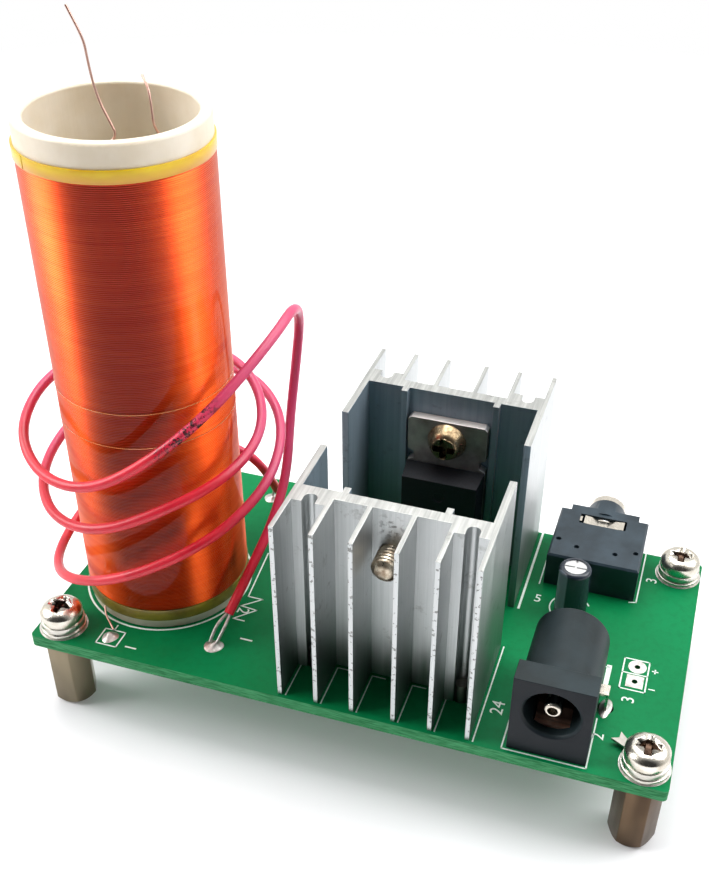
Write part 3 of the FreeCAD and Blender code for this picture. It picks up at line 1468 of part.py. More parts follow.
make_standoffs()
make_flat_washers()
make_spring_washers()
make_board_screws()
make_solder_tag()
make_coil_tube()
make_tube_layers()
make_thin_wires()
make_primary_winding()
make_primary_ends()
make_top_solder()
make_heatsink("front_heatsink", FRONT_FACE, False)
make_heatsink("rear_heatsink", REAR_FACE, True)
make_sink_pins()
make_transistor("front", FRONT_FACE, False)
make_transistor("rear", REAR_FACE, True)
make_transistor_screws()
make_power_housing()
make_power_pin()
make_power_leaf()
make_power_switch_terminal()
make_audio_housing()
make_audio_bush()
make_audio_contacts()
make_capacitor()
make_small_parts()
make_solder_joints()
make_board()
check_and_write()
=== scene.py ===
# %% [markdown]
# # A desktop resonant transformer
# The object is a green printed board on four posts. It carries a tall coil of fine enamelled
# wire on a plastic tube, a few loose turns of red wire round it, two finned heat sinks with
# their transistors, a power socket and an audio socket. The CAD model is loaded as a fixed
# frame: every piece below is made in metres at the place that the CAD gives it.

import math

import bmesh
import bpy
from mathutils import Matrix, Vector


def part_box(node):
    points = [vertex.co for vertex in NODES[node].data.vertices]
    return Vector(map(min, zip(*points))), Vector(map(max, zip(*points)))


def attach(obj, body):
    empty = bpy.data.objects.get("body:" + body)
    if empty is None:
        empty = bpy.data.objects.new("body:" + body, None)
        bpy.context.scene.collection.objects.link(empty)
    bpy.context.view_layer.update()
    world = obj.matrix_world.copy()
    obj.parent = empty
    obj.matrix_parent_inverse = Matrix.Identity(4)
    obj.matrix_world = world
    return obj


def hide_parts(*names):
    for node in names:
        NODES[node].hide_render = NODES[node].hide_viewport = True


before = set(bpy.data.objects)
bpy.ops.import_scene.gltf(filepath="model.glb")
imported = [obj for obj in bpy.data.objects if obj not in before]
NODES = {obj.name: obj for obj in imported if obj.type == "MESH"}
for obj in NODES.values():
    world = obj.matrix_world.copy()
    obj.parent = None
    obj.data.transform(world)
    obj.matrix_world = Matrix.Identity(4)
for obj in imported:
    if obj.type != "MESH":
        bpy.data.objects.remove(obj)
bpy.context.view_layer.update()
MM = 0.001
print("CAD nodes:", len(NODES))

# %% [markdown]
# ## Helpers for pieces
# Everything on this board is a few millimetres long, so sizes are written in millimetres and
# turned to metres once, where a piece becomes a mesh. Each piece rides on the board, which is
# the body that does not move. A node of the CAD can be copied, cleaned and given small
# rounded edges, because a real edge always catches a thin line of light.

# %% Helpers for pieces
BOARD = "board"
SAME_SPOT = 0.002
FLAT_ANGLE = 0.6
SHARP_ANGLE = 38.0


def v(x, y, z):
    """A point given in millimetres."""
    return Vector((x, y, z)) * MM


def finish_piece(name, bm, angle=35.0, flat=False):
    """Turn a bmesh into an object that rides on the board.

    Edges stay sharp above angle degrees, and flat keeps wide faces evenly lit.
    """
    mesh = bpy.data.meshes.new(name)
    bm.to_mesh(mesh)
    bm.free()
    mesh.shade_smooth()
    mesh.set_sharp_from_angle(angle=math.radians(angle))
    piece = bpy.data.objects.new(name, mesh)
    bpy.context.scene.collection.objects.link(piece)
    if flat:
        piece.modifiers.new("flat_faces", "WEIGHTED_NORMAL").keep_sharp = True
    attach(piece, BOARD)
    return piece


def copy_of(node):
    """A bmesh with a CAD node's shape, its loose triangles merged into clean faces."""
    bm = bmesh.new()
    bm.from_mesh(NODES[node].data)
    bmesh.ops.remove_doubles(bm, verts=bm.verts, dist=SAME_SPOT * MM)
    bmesh.ops.dissolve_limit(bm, angle_limit=math.radians(FLAT_ANGLE), verts=bm.verts, edges=bm.edges)
    return bm


def soften(bm, width, keep=None):
    """Round every sharp edge by width millimetres, apart from those that keep picks out."""
    sharp = [edge for edge in bm.edges
             if edge.is_manifold and edge.calc_face_angle() > math.radians(SHARP_ANGLE)]
    if keep:
        sharp = [edge for edge in sharp if not keep(edge)]
    bmesh.ops.bevel(bm, geom=sharp, offset=width * MM, affect="EDGES", segments=2,
                    profile=0.5, material=-1, clamp_overlap=True)
    return bm


def softened_copy(name, node, width, keep=None, angle=35.0, flat=False):
    """A copy of a CAD node with small rounded edges, which takes the node's place."""
    piece = finish_piece(name, soften(copy_of(node), width, keep), angle, flat)
    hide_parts(node)
    return piece


def dress(material, *names):
    """Give CAD nodes a finish."""
    for name in names:
        NODES[name].material_slots[0].material = material


print("helpers for pieces ready")

# %% [markdown]
# ## Helpers for finishes
# A finish is a small tree of nodes that feeds one Principled shader. One function adds a node
# with its settings and inputs. The others each make a part of a finish that many pieces share:
# random patches of a real size, two tones that follow a pattern, a gloss that varies, and a
# relief of a real depth.

# %% Helpers for finishes
def linear(colour):
    """An sRGB hex colour as linear red, green, blue and alpha."""
    channels = [int(colour[k:k + 2], 16) / 255 for k in (1, 3, 5)]
    return [c / 12.92 if c <= 0.04045 else ((c + 0.055) / 1.055) ** 2.4 for c in channels] + [1.0]


def feed(tree, node, inputs):
    """Set or link a node's inputs, by name or in order; a node as a value stands for its result."""
    in_use = [socket for socket in node.inputs if socket.enabled]
    pairs = inputs.items() if isinstance(inputs, dict) else enumerate(inputs)
    for key, value in pairs:
        target = in_use[key] if isinstance(key, int) else node.inputs[key]
        if isinstance(value, bpy.types.Node):
            value = next(socket for socket in value.outputs if socket.enabled)
        if isinstance(value, bpy.types.NodeSocket):
            tree.links.new(value, target)
        else:
            target.default_value = value


def add(tree, kind, inputs=(), **settings):
    """Add a shader node with its settings and its inputs."""
    node = tree.nodes.new("ShaderNode" + kind)
    for name, value in settings.items():
        setattr(node, name, value)
    feed(tree, node, inputs)
    return node


def new_material(name, inputs):
    """A material with one Principled shader, and its tree, shader and Object coordinates."""
    material = bpy.data.materials.new(name)
    material.use_nodes = True
    tree = material.node_tree
    tree.nodes.clear()
    shader = add(tree, "BsdfPrincipled", inputs)
    add(tree, "OutputMaterial", {"Surface": shader})
    place = add(tree, "TexCoord").outputs["Object"]
    return material, tree, shader, place


def patches(tree, place, size, detail=3.0, roughness=0.55, stretch=(1, 1, 1)):
    """Random patches, the largest size millimetres across, drawn out where stretch is under one."""
    moved = add(tree, "Mapping", {"Vector": place, "Scale": stretch})
    return add(tree, "TexNoise", {"Vector": moved, "Scale": 1 / (size * MM), "Detail": detail,
                                  "Roughness": roughness})


def two_tone(tree, pattern, first, second, start=0.0, end=1.0, most=1.0):
    """Two hex colours: the first where a pattern is under start, up to most of the second at end."""
    share = add(tree, "MapRange", (pattern, start, end, 0.0, most))
    return add(tree, "Mix", (share, linear(first), linear(second)), data_type="RGBA")


def gloss(tree, shader, pattern, low, high, start=0.3, end=0.7):
    """A roughness that follows a pattern, from low at start to high at end."""
    feed(tree, shader, {"Roughness": add(tree, "MapRange", (pattern, start, end, low, high))})


def relief(tree, shader, pattern, depth):
    """A surface that a pattern raises by up to depth millimetres."""
    feed(tree, shader, {"Normal": add(tree, "Bump", {"Height": pattern, "Distance": depth * MM})})


def facing(tree, axis):
    """How far a surface faces along one of the object's own axes, from -1 to 1."""
    normal = add(tree, "NewGeometry").outputs["Normal"]
    return add(tree, "SeparateXYZ", (normal,)).outputs[axis]


print("helpers for finishes ready")

# %% [markdown]
# ## The camera
# The photograph looks down on the board from the front right. The camera stands where a fit to
# the board's corners, the screws and the coil's two rims puts it. The shift is small and only
# frames the picture as the photograph does.

# %% Camera
CAMERA_PLACE = (32.63, -108.19, 111.55)
RIGHT = Vector((0.95621, 0.29186, 0.02188))
UP = Vector((-0.19141, 0.56703, 0.80115))
BACK = Vector((0.22142, -0.77026, 0.59806))
camera_data = bpy.data.cameras.new("camera")
camera_data.sensor_fit = "VERTICAL"
camera_data.sensor_height = 36.0
camera_data.lens = 47.47
camera_data.shift_x = -0.0525
camera_data.shift_y = 0.0624
camera_data.clip_start = 0.005
camera = bpy.data.objects.new("camera", camera_data)
bpy.context.scene.collection.objects.link(camera)
turn = Matrix((RIGHT, UP, BACK)).transposed().to_4x4()
camera.matrix_world = Matrix.Translation(v(*CAMERA_PLACE)) @ turn
bpy.context.scene.camera = camera
print("camera at", CAMERA_PLACE, "mm")

# %% [markdown]
# ## The red primary wire
# The primary winding is one length of soft insulated hook-up wire, wound by hand three times
# round the tube and left loose, so its turns differ in size and tilt. A smooth NURBS curve with
# one control point every twelfth of a turn follows it, because a real wire of this kind never
# has a corner. Its thickness is the radius of those points.

# %% Primary wire
WIRE_DIAMETER = 1.2
LEAD_IN = [(-16.0, -13.8, 14.5), (-14.9, -9.6, 18.0), (-13.7, -4.2, 22.2), (-13.4, 0.3, 26.7),
           (-14.5, 4.7, 32.0), (-14.5, 7.3, 38.5), (-13.6, 6.9, 45.0), (-12.2, 2.2, 49.6),
           (-12.2, -4.3, 48.8)]
LEAD_OUT = [(-22.6, 8.5, 22.5), (-20.4, 9.9, 18.8), (-20.0, 12.0, 14.4)]
LOOP_CENTRE = (-27.67, -6.38)
FIRST_TURN_ANGLE = -30.0
TURN_STEP = 30.0
TURN_RADII = [14.1, 14.1, 14.5, 14.9, 15.2, 14.5, 14.0, 13.8, 13.7, 13.5, 13.4,
              13.9, 14.4, 14.5, 14.7, 14.3, 13.9, 14.1, 14.8, 15.4, 15.7, 15.7, 15.9,
              15.3, 14.3, 14.2, 14.4, 14.2, 14.0, 14.1, 14.5, 14.1, 14.0]
TURN_HEIGHTS = [44.4, 39.9, 35.3, 34.4, 36.0, 38.1, 38.9, 38.7, 38.9, 38.6, 37.2,
                35.9, 34.8, 32.9, 29.7, 28.3, 28.7, 29.5, 31.4, 33.6, 35.4, 35.6, 33.9,
                30.8, 27.8, 25.3, 22.2, 19.0, 16.3, 16.0, 19.0, 23.2, 24.4]


def turn_point(step):
    """The route's point on the turns, step twelfths of a turn after the first."""
    angle = math.radians(FIRST_TURN_ANGLE - TURN_STEP * step)
    return (LOOP_CENTRE[0] + TURN_RADII[step] * math.cos(angle),
            LOOP_CENTRE[1] + TURN_RADII[step] * math.sin(angle), TURN_HEIGHTS[step])


route = LEAD_IN + [turn_point(step) for step in range(len(TURN_RADII))] + LEAD_OUT
wire_curve = bpy.data.curves.new("primary_wire", "CURVE")
wire_curve.dimensions = "3D"
line = wire_curve.splines.new("NURBS")
line.points.add(len(route) - 1)
for control, spot in zip(line.points, route):
    control.co = (*v(*spot), 1.0)
    control.radius = WIRE_DIAMETER / 2 * MM
line.order_u = 3
line.use_endpoint_u = True
line.resolution_u = 10
wire_curve.bevel_depth = 1.0
wire_curve.bevel_resolution = 5
wire_curve.use_fill_caps = True
primary_wire = bpy.data.objects.new("primary_wire", wire_curve)
bpy.context.scene.collection.objects.link(primary_wire)
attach(primary_wire, BOARD)
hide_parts("primary_winding")
print("route points:", len(route))

# %% [markdown]
# ## Red PVC insulation
# The sheath is soft extruded PVC: an even deep red, half gloss, a little light passing into its
# surface. Where the wire was pulled past an edge it carries dark scuffs, and fingers have left
# it slightly dull in places. The rear and upper stretches carry a painted pink sheen.

# %% Material: extruded red PVC
SHEEN_TO_REAR = (-14 * MM, -6 * MM)
SHEEN_UPWARDS = (40 * MM, 47 * MM)
SHEEN_FROM_FOOT = (17 * MM, 30 * MM)
SHEEN_SHARE = 0.6
SCUFF_CENTRE = (-17.7, -16.3, 42.1)
SCUFF_REACH = (3.025 * MM, 5.5 * MM)
sheath, tree, shader, place = new_material("red_pvc", {
    "Roughness": 0.36, "IOR": 1.53, "Subsurface Weight": 0.12, "Subsurface Scale": 0.6 * MM,
    "Subsurface Radius": (1.0, 0.25, 0.2)})
mottle = patches(tree, place, 4.0, detail=4.0)
red = two_tone(tree, mottle, "#c5142a", "#dd2238", 0.35, 0.65)
parts = add(tree, "SeparateXYZ", (place,)).outputs
# A painted sheen: the rear and upper stretches are mixed towards pink.
far_side = add(tree, "MapRange", (parts["Y"], *SHEEN_TO_REAR))
above = add(tree, "MapRange", (parts["Z"], *SHEEN_UPWARDS))
not_low = add(tree, "MapRange", (parts["Z"], *SHEEN_FROM_FOOT))
sheen_zone = add(tree, "Math", (far_side, above), operation="MAXIMUM")
painted_sheen = add(tree, "Math", (sheen_zone, not_low), operation="MULTIPLY")
painted_sheen = add(tree, "Math", (painted_sheen, SHEEN_SHARE), operation="MULTIPLY")
red = add(tree, "Mix", (painted_sheen, red, linear("#cf5688")), data_type="RGBA")
offset = add(tree, "VectorMath", (place, v(*SCUFF_CENTRE)), operation="DISTANCE")
near = add(tree, "MapRange", (offset, *SCUFF_REACH, 1.0, 0.0))
blots = add(tree, "MapRange", (patches(tree, place, 0.8, detail=5.0, roughness=0.75), 0.5, 0.55))
scuffed = add(tree, "Math", (near, blots), operation="MULTIPLY", use_clamp=True)
red = add(tree, "Mix", (scuffed, red, linear("#2a0c10")), data_type="RGBA")
feed(tree, shader, {"Base Color": red})
gloss(tree, shader, mottle, 0.3, 0.46)
relief(tree, shader, patches(tree, place, 0.35, detail=2.0), 0.012)
wire_curve.materials.append(sheath)
print(sheath.name)

# %% [markdown]
# ## Rings and other turned shapes
# The coil, its tapes, the printed rings and the drops of solder are all turned shapes. Each
# starts as one outline of radius and height and is spun round an upright axis. A part turn,
# such as the lap of a tape, is closed at its two ends.

# %% Helpers for turned shapes
SEAM = 0.0005


def faces_on(bm, verts):
    """The faces that stand on some of a bmesh's points, in the bmesh's own order."""
    chosen = set(verts)
    return [face for face in bm.faces if face.verts[0] in chosen]


def spun(bm, outline, centre, steps=96, sweep=360.0, start=0.0):
    """Spin a closed outline of (radius, height) pairs, in millimetres, round an upright axis."""
    old = set(bm.verts)
    spots = [bm.verts.new(v(radius, 0, height)) for radius, height in outline]
    rim = [bm.edges.new((spots[k], spots[(k + 1) % len(spots)])) for k in range(len(spots))]
    whole = sweep == 360.0
    bmesh.ops.spin(bm, geom=spots + rim, cent=(0, 0, 0), axis=(0, 0, 1), angle=math.radians(sweep),
                   steps=steps, use_merge=whole)
    new = [vert for vert in bm.verts if vert not in old]
    bmesh.ops.remove_doubles(bm, verts=new, dist=SEAM * MM)
    new = [vert for vert in bm.verts if vert not in old]
    if not whole:
        loose = [edge for edge in bm.edges if edge.is_boundary and edge.verts[0] not in old]
        bmesh.ops.holes_fill(bm, edges=loose, sides=0)
    bmesh.ops.rotate(bm, verts=new, cent=(0, 0, 0), matrix=Matrix.Rotation(math.radians(start), 3, "Z"))
    bmesh.ops.translate(bm, verts=new, vec=v(*centre))
    bmesh.ops.recalc_face_normals(bm, faces=faces_on(bm, new))
    return new


def ring_outline(inner, outer, low, high):
    """The outline of a plain ring."""
    return [(inner, low), (outer, low), (outer, high), (inner, high)]


print("turning helpers ready")

# %% [markdown]
# ## The fine winding
# The secondary is one layer of enamelled copper wire, wound turn against turn. Modelled as a
# plain sleeve it would shine like a pipe. Here its outline is one line cut into many short
# pieces, every second point pushed out, so that each turn is a small ridge that spreads the
# light up and down but not sideways, as real turns do. The real turns are about 0.15 mm apart
# and are drawn a little coarser.

# %% The fine winding
COIL = (-27.67, -6.375)
TUBE_RADIUS = 10.0
WINDING_RADIUS = 10.03
WINDING_LOW, WINDING_HIGH = 14.4, 68.9
WINDING_SIDES = 112
TURN_PITCH = 0.21
RIDGE = 0.07
bm = bmesh.new()
foot_vert = bm.verts.new(v(WINDING_RADIUS, 0, WINDING_LOW))
head_vert = bm.verts.new(v(WINDING_RADIUS, 0, WINDING_HIGH))
bmesh.ops.subdivide_edges(bm, edges=[bm.edges.new((foot_vert, head_vert))],
                          cuts=2 * int((WINDING_HIGH - WINDING_LOW) / TURN_PITCH) - 1)
ordered = sorted(bm.verts, key=lambda vert: vert.co.z)
bmesh.ops.translate(bm, verts=ordered[1::2], vec=v(RIDGE, 0, 0))
inner = [bm.verts.new(v(TUBE_RADIUS, 0, z)) for z in (WINDING_LOW, WINDING_HIGH)]
for pair in ((ordered[0], inner[0]), (inner[0], inner[1]), (inner[1], ordered[-1])):
    bm.edges.new(pair)
bmesh.ops.spin(bm, geom=bm.verts[:] + bm.edges[:], cent=(0, 0, 0), axis=(0, 0, 1),
               angle=math.tau, steps=WINDING_SIDES, use_merge=True)
bmesh.ops.remove_doubles(bm, verts=bm.verts, dist=SEAM * MM)
bmesh.ops.recalc_face_normals(bm, faces=bm.faces)
bmesh.ops.translate(bm, verts=bm.verts, vec=v(*COIL, 0))
winding = finish_piece("fine_winding", bm, angle=20)
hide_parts("secondary_winding")
print("winding faces:", len(winding.data.polygons))

# %% [markdown]
# ## Enamelled copper
# Magnet wire is bare copper under a clear red-brown enamel, so it is a metal with an orange
# red colour, half gloss, whose turns differ a little in shade. A thin clear coat lies over all
# of it: the winding is wrapped in clear film, which gives the smooth second reflection. The
# coat's own normal points straight out from the tube's axis, because the film is stretched
# over the ridges and does not follow them.

# %% Material: enamelled copper wire
copper, tree, shader, place = new_material("enamelled_copper", {
    "Metallic": 1.0, "Roughness": 0.3, "Coat Weight": 0.28, "Coat Roughness": 0.05, "Coat IOR": 1.5})
turns = patches(tree, place, 14.0, detail=2.0, stretch=(0.6, 0.6, 40.0))
orange = two_tone(tree, turns, "#da4e1c", "#e45e26", 0.35, 0.68)
worn = add(tree, "MapRange", (patches(tree, place, 18.0), 0.45, 0.75, 0.0, 0.5))
deeper = add(tree, "Mix", (worn, orange, linear("#c84016")), data_type="RGBA")
from_axis = add(tree, "Mapping", {"Vector": place, "Location": v(-COIL[0], -COIL[1], 0)})
level_part = add(tree, "VectorMath", (from_axis, (1, 1, 0)), operation="MULTIPLY")
outward = add(tree, "VectorMath", (level_part,), operation="NORMALIZE")
feed(tree, shader, {"Base Color": deeper, "Coat Normal": outward})
gloss(tree, shader, turns, 0.29, 0.31)
winding.data.materials.append(copper)
print(copper.name)

# %% [markdown]
# ## Tapes and film
# A turn of yellow polyester tape holds each end of the winding. It is thin and half clear, so
# it is brighter where it lies on the white tube, and its free end laps over the first turn.
# Two edges of the clear film show as fine lines round the middle of the coil.

# %% Tapes and film
TAPE_RADIUS = 10.2
LAP_RADIUS = 10.25
TAPE_EDGE = 0.04
TOP_TAPE = (WINDING_HIGH, 70.3)
TOP_LAP = (68.94, 70.32)
FOOT_TAPE = (12.8, WINDING_LOW)
FOOT_LAP = (12.86, 14.46)
FILM_EDGES = (38.5, 42.9)
FILM_RADII = (10.12, 10.17)
FILM_EDGE_WIDTH = 0.1


def tape_wrap(name, slot, heights, lap_heights, **lap):
    """A full turn of tape round the tube, with its free end lapping over part of it."""
    bm = bmesh.new()
    spun(bm, ring_outline(TUBE_RADIUS, TAPE_RADIUS, *heights), (*COIL, 0), steps=128)
    spun(bm, ring_outline(TAPE_RADIUS, LAP_RADIUS, *lap_heights), (*COIL, 0), **lap)
    return finish_piece(name, soften(bm, TAPE_EDGE))


top_wrap = tape_wrap("top_tape_wrap", "yellow_tape", TOP_TAPE, TOP_LAP,
                     steps=24, sweep=62.0, start=176.0)
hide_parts("top_tape")
foot_wrap = tape_wrap("foot_tape_wrap", "foot_tape", FOOT_TAPE, FOOT_LAP,
                      steps=30, sweep=80.0, start=-120.0)
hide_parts("bottom_tape")
bm = bmesh.new()
for z in FILM_EDGES:
    spun(bm, ring_outline(*FILM_RADII, z, z + FILM_EDGE_WIDTH), (*COIL, 0), steps=WINDING_SIDES)
film = finish_piece("clear_film", bm)
print("tape faces:", len(top_wrap.data.polygons), len(foot_wrap.data.polygons))

# %% Materials: polyester tape and clear film
COPPER_BELOW = (69.0 * MM, 69.9 * MM)
yellow, tree, shader, place = new_material("yellow_polyester_tape", {
    "Roughness": 0.3, "IOR": 1.5, "Coat Weight": 0.4, "Subsurface Weight": 0.15,
    "Subsurface Scale": 0.4 * MM})
height = add(tree, "SeparateXYZ", (place,)).outputs["Z"]
over_copper = add(tree, "MapRange", (height, *COPPER_BELOW, 0.75, 0.1))
paint = two_tone(tree, patches(tree, place, 5.0, detail=4.0, stretch=(1, 1, 2.5)),
                 "#eccc14", "#dcae10", 0.35, 0.7)
paint = add(tree, "Mix", (over_copper, paint, linear("#c8820c")), data_type="RGBA")
feed(tree, shader, {"Base Color": paint})
relief(tree, shader, patches(tree, place, 2.0, detail=2.0), 0.03)
top_wrap.data.materials.append(yellow)
# The foot tape is the same yellow tape, drawn olive and brown as a painted shade.
olive, tree, shader, place = new_material("shaded_yellow_tape", {
    "Roughness": 0.38, "IOR": 1.5, "Coat Weight": 0.3})
shaded_tape_tone = two_tone(tree, patches(tree, place, 3.5, detail=5.0), "#9a8a2a", "#6e5a1e", 0.35, 0.65)
feed(tree, shader, {"Base Color": shaded_tape_tone})
relief(tree, shader, patches(tree, place, 1.5), 0.03)
foot_wrap.data.materials.append(olive)
clear, tree, shader, place = new_material("clear_polyester_film", {
    "Base Color": linear("#f0a060"), "Roughness": 0.15, "IOR": 1.5, "Alpha": 0.45})
relief(tree, shader, patches(tree, place, 6.0), 0.02)
film.data.materials.append(clear)
print(yellow.name, olive.name, clear.name)

# %% [markdown]
# ## The white tube
# The former is a length of extruded white plastic pipe. Such pipe is warm white, half matt and
# lets a little light into its surface. The die leaves faint lines along it, so the gloss and
# the relief both follow one pattern that is drawn out along the tube.

# %% Material: extruded white pipe
pipe, tree, shader, place = new_material("white_pipe_plastic", {
    "Roughness": 0.42, "IOR": 1.53, "Subsurface Weight": 0.15, "Subsurface Scale": 1.5 * MM,
    "Subsurface Radius": (1.0, 0.85, 0.7)})
die_lines = patches(tree, place, 0.8, stretch=(1, 1, 0.03))
white = two_tone(tree, patches(tree, place, 7.0, detail=4.0), "#e6dccb", "#d6c8ae", 0.4, 0.75)
feed(tree, shader, {"Base Color": white})
gloss(tree, shader, die_lines, 0.36, 0.52)
relief(tree, shader, die_lines, 0.02)
dress(pipe, "coil_tube")
print(pipe.name)

# %% [markdown]
# ## Fine bare wires
# The two ends of the winding stand out of the tube as hair-thin wire, still in its red-brown
# enamel. One lead runs from the foot of the winding to its pad.

# %% Material: fine enamelled wire
fine, tree, shader, place = new_material("fine_enamelled_wire", {
    "Metallic": 1.0, "Roughness": 0.34, "Coat Weight": 0.3})
shade = two_tone(tree, patches(tree, place, 1.2, detail=2.0), "#b08474", "#d8b0a2")
feed(tree, shader, {"Base Color": shade})
dress(fine, "discharge_wire", "short_wire", "secondary_lead")
print(fine.name)

# %% [markdown]
# ## The printed board
# FR-4 is woven glass in resin, about 1.6 mm thick, covered on both faces with green solder
# mask. The mask is a thin lacquer, half matt here, with a fine grain and slow changes of shade
# where it lies thinner. The sawn edge shows the bare laminate, paler, matt and streaked by its
# glass fibres. One material does both: it looks at which way the surface faces.

# %% Material: solder mask on glass laminate
laminate, tree, shader, place = new_material("green_solder_mask", {
    "Roughness": 0.5, "IOR": 1.52, "Specular IOR Level": 0.1})
upright = add(tree, "Math", (facing(tree, "Z"),), operation="ABSOLUTE")
on_face = add(tree, "MapRange", (upright, 0.5, 0.8))
grain = patches(tree, place, 0.9, detail=4.0)
mask = two_tone(tree, patches(tree, place, 22.0, detail=2.0), "#026c3a", "#037e49", 0.3, 0.7)
darker = add(tree, "MapRange", (grain, 0.45, 0.7, 0.0, 0.25))
mask = add(tree, "Mix", (darker, mask, linear("#025a30")), data_type="RGBA")
fibres = patches(tree, place, 0.5, stretch=(0.3, 0.3, 3.0))
sawn_edge = two_tone(tree, fibres, "#276e42", "#4c9a68", 0.35, 0.65)
surface = add(tree, "Mix", (on_face, sawn_edge, mask), data_type="RGBA")
feed(tree, shader, {"Base Color": surface})
gloss(tree, shader, on_face, 0.75, 0.42, 0.0, 1.0)
relief(tree, shader, grain, 0.012)
dress(laminate, "circuit_board")
print(laminate.name)

# %% [markdown]
# ## Ink on the board
# The legend is white ink, printed about 0.02 mm thick and drawn a little thicker, so that it
# shows from the side. Each straight line is one flat bar, laid where the photograph shows it.
# The lines are kept as lists of points, each with its width. The board's upper face comes from
# the CAD.

# %% Legend in white ink
DECK = round(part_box("circuit_board")[1][2] / MM, 3)
INK = 0.03
LINE = 0.17
SINK_LINE = 0.3
MOUTH_LINE = 0.6
COIL_RING = (10.42, 10.66)
CAN_AXIS = (23.5, 3.52)
CAN_RING = (2.5, 2.68)
FIN_SIDES = [-5.55, -1.2, 3.15, 8.15, 12.5]
FIN_MARK = [(0.0, -21.6), (0.0, -15.6), (1.6, -15.6)]


def rectangle(low, high):
    """The closed line round a rectangle."""
    return [low, (high[0], low[1]), high, (low[0], high[1]), low]


LEGEND = [
    (LINE, rectangle((-30.77, -20.77), (-28.06, -18.16))),
    (LINE, [(-29.6, -18.16), (-29.6, -17.3)]),
    (LINE, [(-17.21, 1.62), (-16.37, -7.19), (-14.41, -7.20), (-16.53, -9.11), (-14.34, -9.31),
            (-16.57, -11.57), (-15.1, -11.6)]),
    (LINE, [(17.0, -21.69), (17.0, -5.92)]),
    (SINK_LINE, [(17.2, 1.67), (17.2, 17.69)]),
    (LINE, [(20.27, -7.0), (20.27, -21.67), (29.84, -21.67), (29.84, -14.0)]),
    (MOUTH_LINE, [(29.94, -8.33), (29.94, -5.22)]),
    (LINE, [(29.94, -5.3), (20.27, -5.3)]),
    (LINE, [(31.45, 17.97), (31.45, 7.43), (30.6, 7.2)]),
    (LINE, [(18.8, 17.97), (18.8, 7.2)]),
    (LINE, rectangle((31.55, -8.23), (34.56, -3.01))),
    (LINE, [(31.55, -5.48), (34.56, -5.48)]),
]
PLUS_AND_MINUS = [[(35.05, -4.36), (35.65, -4.36)], [(35.35, -4.66), (35.35, -4.06)],
                  [(35.0, -7.46), (35.6, -7.46)]]


def stroke(bm, start, end, width):
    """A flat bar of ink on the board between two points."""
    span = Vector((end[0] - start[0], end[1] - start[1], 0))
    middle = v((start[0] + end[0]) / 2, (start[1] + end[1]) / 2, DECK + INK / 2)
    turned = Matrix.Rotation(math.atan2(span.y, span.x), 4, "Z")
    size = Matrix.Diagonal((*v(span.length + width, width, INK), 1))
    bmesh.ops.create_cube(bm, size=1, matrix=Matrix.Translation(middle) @ turned @ size)


def strokes(bm, points, width=LINE):
    """Bars along a line of points."""
    for start, end in zip(points, points[1:]):
        stroke(bm, start, end, width)


bm = bmesh.new()
spun(bm, ring_outline(*COIL_RING, DECK, DECK + INK), (*COIL, 0), steps=128)
for width, points in LEGEND:
    strokes(bm, points, width)
for side in FIN_SIDES:
    strokes(bm, [(side + x, y) for x, y in FIN_MARK])
spun(bm, ring_outline(*CAN_RING, DECK, DECK + INK), (*CAN_AXIS, 0), steps=48, sweep=300.0, start=30.0)
for points in PLUS_AND_MINUS:
    strokes(bm, points)
legend = finish_piece("printed_legend", bm, angle=20)
print("legend faces:", len(legend.data.polygons))

# %% [markdown]
# ## Plain numbers
# A number starts as a text curve, because Blender already holds the shapes of the digits. It is
# made a mesh before it is turned and moved, so that its place is in the mesh like that of every
# other piece.

# %% Plain numbers in ink
FONT_SCALE = 1.35
NUMBERS = [("1", (-26.2, -20.3), 1.6, 90), ("2", (-16.0, -9.9), 1.6, -90),
           ("1", (-13.6, -14.6), 1.7, -90), ("3", (32.9, -9.9), 1.6, 90),
           ("2", (30.4, -16.6), 1.5, 90), ("3", (32.9, 12.4), 1.5, 90),
           ("5", (19.2, 4.2), 1.5, 0), ("24", (18.6, -15.9), 1.6, 90)]


def print_number(text, spot, height, turned):
    """A plain number lying on the board, as a mesh with its place applied."""
    font = bpy.data.curves.new("number", "FONT")
    font.body = text
    font.size = height * FONT_SCALE * MM
    font.extrude = INK / 2 * MM
    font.resolution_u = 3
    font.align_x = "CENTER"
    font.align_y = "CENTER"
    carrier = bpy.data.objects.new("number", font)
    mesh = bpy.data.meshes.new_from_object(carrier)
    bpy.data.objects.remove(carrier)
    turn = Matrix.Rotation(math.radians(turned), 4, "Z")
    mesh.transform(Matrix.Translation(v(*spot, DECK + INK / 2)) @ turn)
    return mesh


bm = bmesh.new()
for text, spot, height, turned in NUMBERS:
    bm.from_mesh(print_number(text, spot, height, turned))
numbers = finish_piece("printed_numbers", bm, angle=20)
print("numbers faces:", len(numbers.data.polygons))

# %% Material: white legend ink
ink, tree, shader, place = new_material("white_legend_ink", {"Roughness": 0.55})
thin_spots = patches(tree, place, 0.25, detail=4.0)
feed(tree, shader, {"Base Color": two_tone(tree, thin_spots, "#e8f2ea", "#a9cdb6", 0.5, 0.75, most=0.6)})
legend.data.materials.append(ink)
numbers.data.materials.append(ink)
print(ink.name)

# %% [markdown]
# ## Tinned pads
# A pad is a thin ring or square of tinned copper round its hole. Two flat loops are bridged and
# the face between them is raised, which leaves the hole open.

# %% Pads
HEADER_HOLE = 0.7
HEADER_PADS = [((33.2, -4.205), 32, 1.1), ((33.2, -6.745), 4, 1.45)]
PAD_HEIGHT = 0.04
SCREW_HALF_SPAN = (36.0, 17.0)
SCREW_MIDDLE_Y = -2.175
SCREW_PLACES = [(x, SCREW_MIDDLE_Y + y) for x in (-SCREW_HALF_SPAN[0], SCREW_HALF_SPAN[0])
                for y in (-SCREW_HALF_SPAN[1], SCREW_HALF_SPAN[1])]
SCREW_HOLE = 3.2
SCREW_PAD_REACH = 2.95
SCREW_PAD_HEIGHT = 0.02


